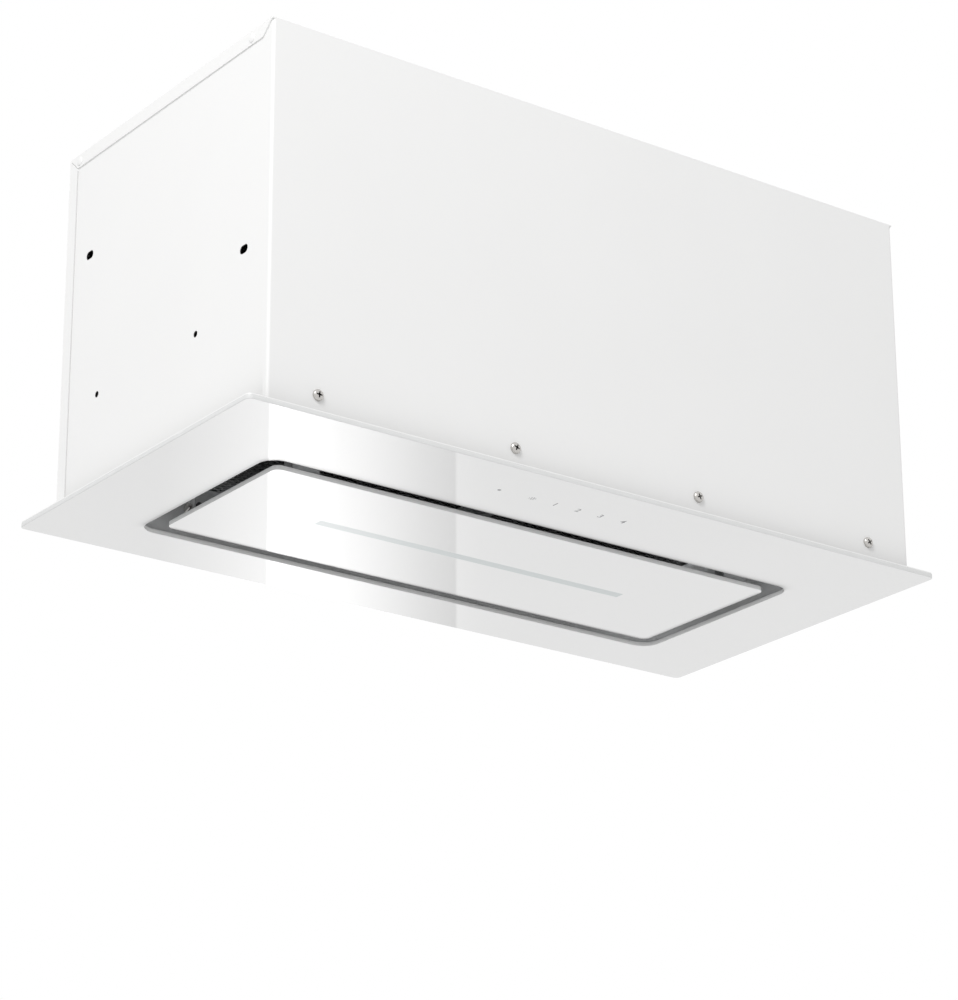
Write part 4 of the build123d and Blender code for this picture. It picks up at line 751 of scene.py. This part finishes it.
class RANGEHOOD_OT_camera(bpy.types.Operator):
    """Puts the camera where it looks up at the hood from its front left corner"""

    bl_idname = "rangehood.camera"
    bl_label = "Camera"

    def execute(self, context):
        studio = context.scene.range_hood_studio
        azimuth, elevation = studio.camera_azimuth, studio.camera_elevation
        level = math.cos(elevation)
        ahead = Vector((level * math.sin(azimuth), level * math.cos(azimuth), math.sin(elevation)))
        aim = ahead.to_track_quat("-Z", "Y").to_matrix().to_4x4() @ Matrix.Rotation(studio.camera_roll, 4, "Z")
        data = bpy.data.cameras.new("camera")
        data.lens = studio.camera_lens
        data.clip_end = 200
        camera = linked("camera", data)
        camera.matrix_world = Matrix.Translation(studio.camera_place) @ aim
        context.scene.camera = camera
        return {"FINISHED"}


class RANGEHOOD_OT_casing(bpy.types.Operator):
    """Powder coats the folded sheets of the casing and the tray behind the face glass"""

    bl_idname = "rangehood.casing"
    bl_label = "Casing"

    def execute(self, context):
        paint = context.scene.range_hood_finish.paint
        low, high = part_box("casing_wrap")
        points = [v.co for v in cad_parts["casing_back_top"].data.vertices]
        flange_y = min(p.y for p in points if abs(p.x) > high.x + 0.5 * MM and p.z < high.z / 2)
        mitre = 13 * MM
        corner, lap = Vector((high.x, low.y, low.z)), Vector((high.x, flange_y, high.z - mitre))
        paint_nodes(powder_coat("powder_coat", paint), "face_tray", "face_collar")
        paint_nodes(powder_coat("powder_coat_back", paint, lap=lap), "casing_back_top")
        paint_nodes(powder_coat("powder_coat_wrap", paint, corner), "casing_wrap")
        paint_nodes(plated("bright_zinc", (0.6, 0.6, 0.6), 0.26), "face_nuts")
        paint_nodes(soft_rubber("black_rubber", (0.02, 0.02, 0.02)), "cable_grommet")
        return {"FINISHED"}


class RANGEHOOD_OT_face_glass(bpy.types.Operator):
    """Makes the face glass: a white ring with round corners and polished edges"""

    bl_idname = "rangehood.face_glass"
    bl_label = "Face Glass"

    def execute(self, context):
        glass = context.scene.range_hood_glass
        low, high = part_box("face_glass")
        opening = (*opening_of("face_glass"), glass.opening_corner)
        base = low.z + glass.mark_depth
        profile = edge_profile(high.z - low.z - glass.mark_depth, glass.edge_round)
        outline = (low, high, glass.face_corner)
        outside = [rounded_outline(*outline, base + height, side) for side, height in profile]
        inside = [rounded_outline(*opening, base + height, -side) for side, height in reversed(profile)]
        edge_rows = len(profile) - 3
        outer, inner = [0, *[1] * edge_rows, 0], [0, *[2] * edge_rows, 0]
        mesh = bmesh.new()
        add_loops(mesh, outside + inside, [*outer, 0, *inner, 0], closed=True)
        white = painted_glass("white_glass", glass.paint, *opening, True)
        # Painted light: the edges by the suction gap take the lighter inner edge colour
        edges = glass_edge("outer_edge", glass.outer_edge), glass_edge("inner_edge", glass.inner_edge)
        piece = linked("face_pane", finished_mesh(mesh, "face_pane"), white, *edges)
        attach(piece, "casing")
        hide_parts("face_glass")
        return {"FINISHED"}


class RANGEHOOD_OT_panel(bpy.types.Operator):
    """Makes the suction panel's pane with its light window, and finishes the tray and light strip behind it"""

    bl_idname = "rangehood.panel"
    bl_label = "Suction Panel"

    def execute(self, context):
        glass = context.scene.range_hood_glass
        low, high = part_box("panel_glass")
        outline = (low, high, glass.panel_corner)
        base, inset = low.z + glass.mark_depth, glass.window_inset
        profile = edge_profile(high.z - base, glass.edge_round)
        window = rounded_outline(*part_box("led_lens"), glass.window_corner + inset, base, inset)
        around = [rounded_outline(*outline, base + height, side) for side, height in profile]
        mesh = bmesh.new()
        rings = add_loops(mesh, [window, *around], [0, 0, *[1] * (len(profile) - 3), 0])
        mesh.faces.new(rings[0]).material_index = 2
        mesh.faces.new(rings[-1]).material_index = 0
        white = painted_glass("white_panel_glass", glass.paint, *outline, False)
        # Painted light: the panel's edges by the gap take the lighter inner edge colour
        edge = glass_edge("panel_glass_edge", glass.inner_edge)
        lit = frosted_window("light_window", glass.window)
        piece = linked("panel_pane", finished_mesh(mesh, "panel_pane"), white, edge, lit)
        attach(piece, "panel")
        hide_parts("panel_glass")
        black, satin = (0.02, 0.02, 0.021), (0.36, 0.14)
        lacquer = grained("black_lacquer", black, (0.8, 1.3), satin, 1.2 * MM, 0.03 * MM, cloud=(40 * MM, 3))
        paint_nodes(lacquer, "panel_tray")
        paint_nodes(diffuser("milky_lens", (0.8, 0.83, 0.82)), "led_lens")
        paint_nodes(circuit_board("white_board", (0.82, 0.82, 0.8), (0.7, 0.7, 0.68)), "led_board")
        paint_nodes(brushed_metal("strip_aluminium", (0.7, 0.71, 0.72), "X"), "led_housing")
        paint_nodes(plated("bright_striker", (0.6, 0.6, 0.61), 0.24), "catch_strikers")
        return {"FINISHED"}


class RANGEHOOD_OT_touch_marks(bpy.types.Operator):
    """Prints the marks over the touch keys: a dot, a lamp and the numbers 1 to 4"""

    bl_idname = "rangehood.touch_marks"
    bl_label = "Touch Marks"

    numbers = 4

    def execute(self, context):
        marks = context.scene.range_hood_marks
        glass = context.scene.range_hood_glass
        low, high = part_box("touch_sensors")
        y = (low.y + high.y) / 2
        first, last = low.x + marks.key_reach + marks.key_shift, high.x - marks.key_reach + marks.key_shift
        keys = [last - (self.numbers - number) * marks.key_pitch for number in range(self.numbers + 1)]
        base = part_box("face_glass")[0].z
        thin = (base + 0.1 * glass.mark_depth, base + 0.7 * glass.mark_depth)
        mesh = bmesh.new()
        add_loops(mesh, [circle(marks.dot_radius, z, 32, (first, y)) for z in thin], caps=True)
        self.add_lamp(mesh, marks, (keys[0], y), thin)
        ink = grained("touch_ink", glass.mark, (0.85, 1.15), (0.2, 0.1), 0.4 * MM, None, detail=1)
        pieces = [linked("touch_symbols", finished_mesh(mesh, "touch_symbols"), ink)]
        for number in range(1, self.numbers + 1):
            pieces.append(self.digit(str(number), marks.digit_height, (keys[number], y), thin, ink))
        for piece in pieces:
            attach(piece, "casing")
        return {"FINISHED"}

    @staticmethod
    def add_lamp(mesh, marks, centre, thin):
        """A ring with eight rays round it."""
        inner, half = marks.lamp_radius - marks.stroke, marks.stroke / 2
        loops = [circle(marks.lamp_radius, z, 32, centre) for z in thin]
        loops += [circle(inner, z, 32, centre) for z in reversed(thin)]
        add_loops(mesh, loops, closed=True)
        bar = ((marks.ray_start, -half), (marks.ray_end, -half), (marks.ray_end, half), (marks.ray_start, half))
        for ray in range(8):
            c, s = math.cos(ray * QUARTER / 2), math.sin(ray * QUARTER / 2)
            points = [(centre[0] + u * c - v * s, centre[1] + u * s + v * c) for u, v in bar]
            add_loops(mesh, [[(*point, z) for point in points] for z in thin], caps=True)

    @staticmethod
    def digit(text, height, centre, thin, ink):
        """A number that faces down, with its top to the front edge."""
        curve = bpy.data.curves.new("digit_" + text, "FONT")
        curve.body = text
        curve.extrude = 0.5
        curve.offset = 0.008
        curve.resolution_u = 6
        written = linked("written_" + text, curve)
        mesh = shown_mesh(written, "touch_number_" + text)
        bpy.data.objects.remove(written)
        axes = [[v.co[axis] for v in mesh.vertices] for axis in range(3)]
        middle = [(min(axis) + max(axis)) / 2 for axis in axes]
        spans = [max(axis) - min(axis) for axis in axes]
        grow = height / spans[1]
        turn = Matrix.Rotation(math.pi, 4, "X")
        size = Matrix.Diagonal((grow, grow, (thin[1] - thin[0]) / spans[2], 1))
        there = Matrix.Translation((centre[0], centre[1], sum(thin) / 2))
        mesh.transform(there @ turn @ size @ Matrix.Translation([-m for m in middle]))
        return linked(mesh.name, mesh, ink)


class RANGEHOOD_OT_fasteners(bpy.types.Operator):
    """Seats the pan head screws and rivets that show, and plates the ones inside"""

    bl_idname = "rangehood.fasteners"
    bl_label = "Screws and Rivets"

    def execute(self, context):
        sizes = context.scene.range_hood_fasteners
        colours = context.scene.range_hood_finish
        screw = bpy.data.objects.new("screw_template", screw_template(sizes))
        rivet = bpy.data.objects.new("rivet_template", rivet_template(sizes))
        nickel, painted = plated("nickel", colours.nickel, 0.2), powder_coat("painted_rivet", colours.paint)
        pan = (screw, nickel, math.tau, "nickel", sizes.head_radius, sizes.head_height)
        dome = (rivet, painted, 0.0, "white_steel", sizes.rivet_radius, sizes.rivet_height)
        both, up = (-1, 1), (1,)
        rows = (
            ("face_screws", pan, 1, (4, 1, 1), both),
            ("outlet_screws", pan, 2, (2, 2, 1), up),
            ("casing_rivets", dome, 0, (1, 2, 1), both),
        )
        rule = self.seating()
        for node, (template, finish, turn, slot, radius, height), axis, counts, sides in rows:
            carrier = seats_on(node, radius, height, axis, counts, sides)
            piece = rule.make(
                "seated_" + node, carrier, Fastener=template, Turn=turn, Seed=sizes.seed, Finish=finish
            )
            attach(piece, "casing")
            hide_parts(node)
        for template in (screw, rivet):
            bpy.data.objects.remove(template)
        inside = [part + "_screws" for part in ("bracket", "motor", "scroll", "lid")]
        paint_nodes(plated("bright_screws", (0.58, 0.58, 0.57), 0.25), *inside)
        return {"FINISHED"}

    @staticmethod
    def seating():
        """A tree that stands a fastener on each point of a carrier, in its direction and turned at random."""
        rule = Rule("Seat fasteners", Fastener="Object", Turn="Float", Seed="Int")
        facing = rule.node("GeometryNodeInputNamedAttribute", {"data_type": "FLOAT_VECTOR"}, {"Name": "facing"})
        along_z = {"axis": "Z", "pivot_axis": "AUTO"}
        upright = rule.node("FunctionNodeAlignRotationToVector", along_z, {"Vector": facing})
        turn = rule.vector(z=rule.chance(rule.given("Turn")))
        spin = rule.node("FunctionNodeEulerToRotation", None, {0: turn})
        turned = rule.node("FunctionNodeRotateRotation", {"rotation_space": "LOCAL"}, {0: upright, 1: spin})
        shape = rule.node("GeometryNodeObjectInfo", None, {"Object": rule.given("Fastener")}, "Geometry")
        return rule.end(rule.on_points(rule.given("Geometry"), shape, Rotation=turned))


class RANGEHOOD_OT_recess(bpy.types.Operator):
    """Finishes the sheet metal round the suction gap, the hinge and the magnetic catches"""

    bl_idname = "rangehood.recess"
    bl_label = "Recess"

    def execute(self, context):
        colours = context.scene.range_hood_finish
        paint_nodes(zinc_sheet("zinc_sheet", colours.zinc), "recess_liner", "filter_deck")
        brackets = ("hinge_bracket_left", "hinge_bracket_right", "catch_brackets", "motor_bracket")
        paint_nodes(zinc_sheet("zinc_brackets", scaled(colours.zinc, 0.9)), *brackets)
        paint_nodes(plated("nickel_pins", colours.nickel, 0.12), "hinge_pins")
        grey, rough = (0.47, 0.475, 0.48), (0.5, 0.2)
        ferrite = grained("grey_magnets", grey, (0.75, 1.2), rough, 0.9 * MM, 0.05 * MM, detail=3, Metallic=0.3)
        paint_nodes(ferrite, "catch_magnets")
        return {"FINISHED"}


class RANGEHOOD_OT_filters(bpy.types.Operator):
    """Makes the expanded metal of the two grease filters and finishes their frames and handles"""

    bl_idname = "rangehood.filters"
    bl_label = "Grease Filters"

    def execute(self, context):
        sizes = context.scene.range_hood_filters
        colours = context.scene.range_hood_finish
        # The filters' aluminium is painted darker than the plain aluminium colour, as painted shade for the dim
        # inside of the recess
        shade, fine = scaled(colours.aluminium, 0.6), sizes.wadding_cell
        bright = brushed_metal("expanded_aluminium", shade, "X", 0.5, 0.4)
        dull = brushed_metal("mesh_aluminium", shade, "Y", 0.5, 0.4)
        sheets = (
            ("face", sizes.cell_length, sizes.cell_width, sizes.strand, 1, bright),
            ("mesh", fine, fine / 2, sizes.wadding_strand, sizes.layers, dull),
        )
        rule = self.expanded_metal()
        for side in ("left", "right"):
            for part, cell, width, strand, layers, finish in sheets:
                node = f"filter_{part}_{side}"
                low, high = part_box(node)
                pattern = {"Size": high - low, "Cell": cell, "Width": width, "Strand": strand, "Layers": layers}
                pattern.update(Seed=sizes.seed, Finish=finish)
                piece = rule.make(f"expanded_{part}_{side}", plain_mesh(node, [tuple(low)]), **pattern)
                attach(piece, "filter_" + side)
                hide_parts(node)
        frames = brushed_metal("frame_aluminium", colours.aluminium, "X")
        paint_nodes(frames, "filter_frame_left", "filter_frame_right")
        paint_nodes(moulded_plastic("grey_handles", colours.grey), "filter_handle_left", "filter_handle_right")
        paint_nodes(plated("spring_clips", (0.56, 0.57, 0.58), 0.22), "filter_clips")
        return {"FINISHED"}

    @staticmethod
    def expanded_metal():
        """A tree that fills a box, whose low corner is the carrier's point, with layers of zigzag strands."""
        sizes = dict.fromkeys(("Cell", "Width", "Strand"), "Float")
        rule = Rule("Expanded metal", Size="Vector", **sizes, Layers="Int", Seed="Int")
        size = rule.node("ShaderNodeSeparateXYZ", None, {0: rule.given("Size")}, "X")
        strand, layers, index = rule.given("Strand"), rule.given("Layers"), rule.node("GeometryNodeInputIndex")
        step, row, level = rule.given("Cell") / 2, rule.given("Width") / 2, size.output("Z") / layers
        bends = ((size - 2 * strand) / step).math("FLOOR")
        line = rule.row(bends, rule.vector(x=strand), rule.vector(x=step))
        zigzag = rule.moved(line, rule.vector(y=(index % 2 - 0.5) * row))
        path = rule.node("GeometryNodeMeshToCurve", None, {0: zigzag})
        flat = rule.node("GeometryNodeSetCurveNormal", {"mode": "Z_UP"}, {"Curve": path})
        section = {"Width": strand, "Height": level * 0.9}
        section = rule.node("GeometryNodeCurvePrimitiveQuadrilateral", {"mode": "RECTANGLE"}, section)
        swept = {"Curve": flat, "Profile Curve": section, "Fill Caps": True}
        wire = rule.node("GeometryNodeCurveToMesh", None, swept)
        rows = ((size.output("Y") - row - 2 * strand) / row).math("FLOOR")
        seats = rule.row(rows, rule.vector(y=row / 2 + strand), rule.vector(y=row))
        sheet = rule.on_points(rule.moved(seats, rule.vector(x=index % 2 * step)), wire)
        levels = rule.row(layers, rule.vector(z=level / 2), rule.vector(z=level))
        drift = rule.chance(row * index.math("MINIMUM", 1))
        stack = rule.on_points(rule.moved(levels, rule.vector(y=drift)), sheet)
        return rule.end(rule.on_points(rule.given("Geometry"), stack))


class RANGEHOOD_OT_blower(bpy.types.Operator):
    """Finishes the blower: its housing, impeller, motor, shaft, bearings and bushes"""

    bl_idname = "rangehood.blower"
    bl_label = "Blower"

    def execute(self, context):
        colours = context.scene.range_hood_finish
        paint_nodes(moulded_plastic("black_housing", colours.black, 0.42), "scroll_left", "scroll_right")
        paint_nodes(moulded_plastic("grey_impeller", colours.grey, 0.4), "impeller")
        paint_nodes(laminated_steel("motor_steel", (0.3, 0.31, 0.33), (0.52, 0.53, 0.54)), "motor_body")
        paint_nodes(brushed_metal("ground_shaft", (0.62, 0.62, 0.63), "X", 0.16), "motor_shaft")
        paint_nodes(plated("bearing_steel", (0.64, 0.64, 0.66), 0.14), "motor_bearings")
        paint_nodes(soft_rubber("bush_rubber", (0.025, 0.025, 0.027)), "motor_bushes")
        return {"FINISHED"}


class RANGEHOOD_OT_outlet(bpy.types.Operator):
    """Finishes the outlet collar and the damper flaps on their pin"""

    bl_idname = "rangehood.outlet"
    bl_label = "Outlet"

    def execute(self, context):
        zinc = context.scene.range_hood_finish.zinc
        paint_nodes(zinc_sheet("zinc_collar", scaled(zinc, 0.88)), "outlet_spigot")
        paint_nodes(zinc_sheet("zinc_flaps", scaled(zinc, 0.8)), "damper_flap_front", "damper_flap_rear")
        paint_nodes(plated("damper_wire", (0.6, 0.6, 0.6), 0.2), "damper_pin")
        return {"FINISHED"}


class RANGEHOOD_OT_electrics(bpy.types.Operator):
    """Finishes the power box, the boards, the capacitor and the touch unit"""

    bl_idname = "rangehood.electrics"
    bl_label = "Electrics"

    def execute(self, context):
        colours = context.scene.range_hood_finish
        paint_nodes(moulded_plastic("ivory_box", colours.ivory, 0.38), "power_box", "power_lid", "led_driver")
        green = circuit_board("green_board", (0.03, 0.16, 0.06), (0.06, 0.3, 0.1))
        paint_nodes(green, "power_board", "touch_board")
        paint_nodes(brushed_metal("can_aluminium", colours.aluminium, "Y", 0.22), "capacitor")
        paint_nodes(zinc_sheet("zinc_clip", colours.zinc), "capacitor_clip")
        paint_nodes(moulded_plastic("carrier_plastic", scaled(colours.grey, 1.4), 0.5), "touch_carrier")
        paint_nodes(open_foam("sensor_foam", (0.1, 0.1, 0.105)), "touch_sensors")
        return {"FINISHED"}


class RANGEHOOD_OT_stage(bpy.types.Operator):
    """Makes the room: even white light, a soft lamp, a pale floor and the light panel that the glass mirrors"""

    bl_idname = "rangehood.stage"
    bl_label = "Studio"

    # Where the light panel's brightness changes: (azimuth in degrees from the camera's mirror image, strength)
    panel_stops = (
        (30.78, 1.0), (31.59, 1.35), (32.3, 1.75), (32.65, 1.95), (32.67, 3.9), (33.21, 3.25), (33.93, 2.4),
        (34.33, 2.05), (34.94, 1.45), (35.45, 0.95), (36.01, 0.55), (36.03, 1.22), (36.47, 1.06), (37.08, 1.0),
    )  # fmt: skip
    panel_distance = 5.64
    panel_height = 2.5
    panel_level = -1.15
    square = ((-1, -1), (1, -1), (1, 1), (-1, 1))

    def execute(self, context):
        studio = context.scene.range_hood_studio
        context.scene.view_settings.view_transform = "Standard"
        self.light_room(context.scene, studio)
        self.hang_lamp(studio)
        self.lay_floor(studio)
        self.stand_light_panel(studio)
        return {"FINISHED"}

    @staticmethod
    def seen_rays(graph):
        """1 for rays from the camera and for what gloss or glass shows, 0 for light on the object."""
        camera = graph.node("ShaderNodeLightPath", output="Is Camera Ray")
        seen = camera.math("MAXIMUM", camera.output("Is Glossy Ray"))
        return seen.math("MAXIMUM", camera.output("Is Transmission Ray"))

    def light_room(self, scene, studio):
        """A world that lights the object evenly and looks white."""
        world = bpy.data.worlds.new("studio")
        world.use_nodes = True
        graph = Graph(world.node_tree)
        world.node_tree.nodes.clear()
        light = graph.node("ShaderNodeBackground", None, {"Color": WHITE_LIGHT, "Strength": studio.day})
        white = graph.node("ShaderNodeBackground", None, {"Color": WHITE_LIGHT, "Strength": 1.0})
        mixed = graph.node("ShaderNodeMixShader", None, {0: self.seen_rays(graph), 1: light, 2: white})
        graph.node("ShaderNodeOutputWorld", None, {"Surface": mixed})
        scene.world = world

    @staticmethod
    def hang_lamp(studio):
        """One large soft lamp, up and to the left of the front."""
        data = bpy.data.lights.new("soft_lamp", "AREA")
        data.shape = "SQUARE"
        data.size = studio.lamp_size
        data.energy = studio.lamp_power
        lamp = linked("soft_lamp", data)
        spot = Vector(studio.lamp_place)
        lamp.matrix_world = Matrix.Translation(spot) @ spot.to_track_quat("Z", "Y").to_matrix().to_4x4()

    def lay_floor(self, studio):
        """A pale floor that keeps the object's shadow and fades to white round it."""
        f = Finish("pale_floor")
        away = (f.x * f.x + f.y * f.y).math("SQRT")
        fade = away.above(studio.shadow_reach, 0.9 * studio.shadow_reach)
        pale = f.shade(f.noise(20 * MM, detail=3), (0.96, 0.96, 0.96), 0.99, 1.01)
        matt = f.node("ShaderNodeBsdfPrincipled", None, {"Base Color": pale, "Roughness": 0.8})
        white = f.node("ShaderNodeEmission", None, {"Color": WHITE_LIGHT, "Strength": 1.0})
        finish = f.end(f.node("ShaderNodeMixShader", None, {0: fade * self.seen_rays(f), 1: matt, 2: white}))
        reach, z = studio.floor_reach, -studio.floor_drop
        corners = [(x * reach, y * reach, z) for x, y in self.square]
        floor = linked("floor", plain_mesh("floor", corners, [(0, 1, 2, 3)]), finish)

    def stand_light_panel(self, studio):
        """A tall panel of light that only the glass shows: bright at its left edge, dim at its right one."""
        azimuths = [math.radians(azimuth) for azimuth, _ in self.panel_stops]
        middle = (azimuths[0] + azimuths[-1]) / 2
        places = [self.panel_distance * math.tan(azimuth - middle) for azimuth in azimuths]
        strongest = max(strength for _, strength in self.panel_stops)
        right = places[-1]
        f = Finish("light_panel")
        stops = []
        for spot, (_, strength) in zip(places, self.panel_stops):
            stops.append(((spot + right) / (2 * right), [strength / strongest] * 3))
        tone = f.node("ShaderNodeValToRGB", {"stops": stops}, {0: (f.x + right) / (2 * right)})
        glow = f.end(f.node("ShaderNodeEmission", None, {"Color": tone, "Strength": strongest}))
        corners = [(x * right, 0, z * self.panel_height / 2) for x, z in self.square]
        panel = linked("light_panel", plain_mesh("light_panel", corners, [(0, 1, 2, 3)]), glow)
        ahead = Vector((math.sin(middle), math.cos(middle), 0))
        foot = Vector(studio.camera_place) + ahead * self.panel_distance
        foot.z = self.panel_level
        panel.matrix_world = Matrix.Translation(foot) @ Matrix.Rotation(-middle, 4, "Z")
        panel.visible_camera = panel.visible_diffuse = panel.visible_shadow = False


STEPS = (
    RANGEHOOD_OT_camera,
    RANGEHOOD_OT_casing,
    RANGEHOOD_OT_face_glass,
    RANGEHOOD_OT_panel,
    RANGEHOOD_OT_touch_marks,
    RANGEHOOD_OT_fasteners,
    RANGEHOOD_OT_recess,
    RANGEHOOD_OT_filters,
    RANGEHOOD_OT_blower,
    RANGEHOOD_OT_outlet,
    RANGEHOOD_OT_electrics,
    RANGEHOOD_OT_stage,
)

GROUPS = {
    "range_hood_glass": GlassSizes,
    "range_hood_marks": MarkSizes,
    "range_hood_fasteners": FastenerSizes,
    "range_hood_filters": FilterSizes,
    "range_hood_finish": FinishColours,
    "range_hood_studio": StudioSizes,
}


class RANGEHOOD_PT_build(bpy.types.Panel):
    """Lists the steps that build the hood's looks, with the sizes and colours they read"""

    bl_idname = "RANGEHOOD_PT_build"
    bl_label = "Ceiling Range Hood"
    bl_space_type = "VIEW_3D"
    bl_region_type = "UI"
    bl_category = "Range Hood"

    def draw(self, context):
        for step in STEPS:
            self.layout.operator(step.bl_idname)
        for attribute, group in GROUPS.items():
            box = self.layout.box()
            for name in group.__annotations__:
                box.prop(getattr(context.scene, attribute), name)


CLASSES = (*GROUPS.values(), *STEPS, RANGEHOOD_PT_build)


def register():
    for cls in CLASSES:
        bpy.utils.register_class(cls)
    for attribute, group in GROUPS.items():
        setattr(bpy.types.Scene, attribute, PointerProperty(type=group))


def unregister():
    for attribute in GROUPS:
        delattr(bpy.types.Scene, attribute)
    for cls in reversed(CLASSES):
        bpy.utils.unregister_class(cls)


def main():
    """Builds everything in order."""
    register()
    for step in STEPS:
        category, name = step.bl_idname.split(".")
        getattr(getattr(bpy.ops, category), name)()


if __name__ == "__main__":
    main()
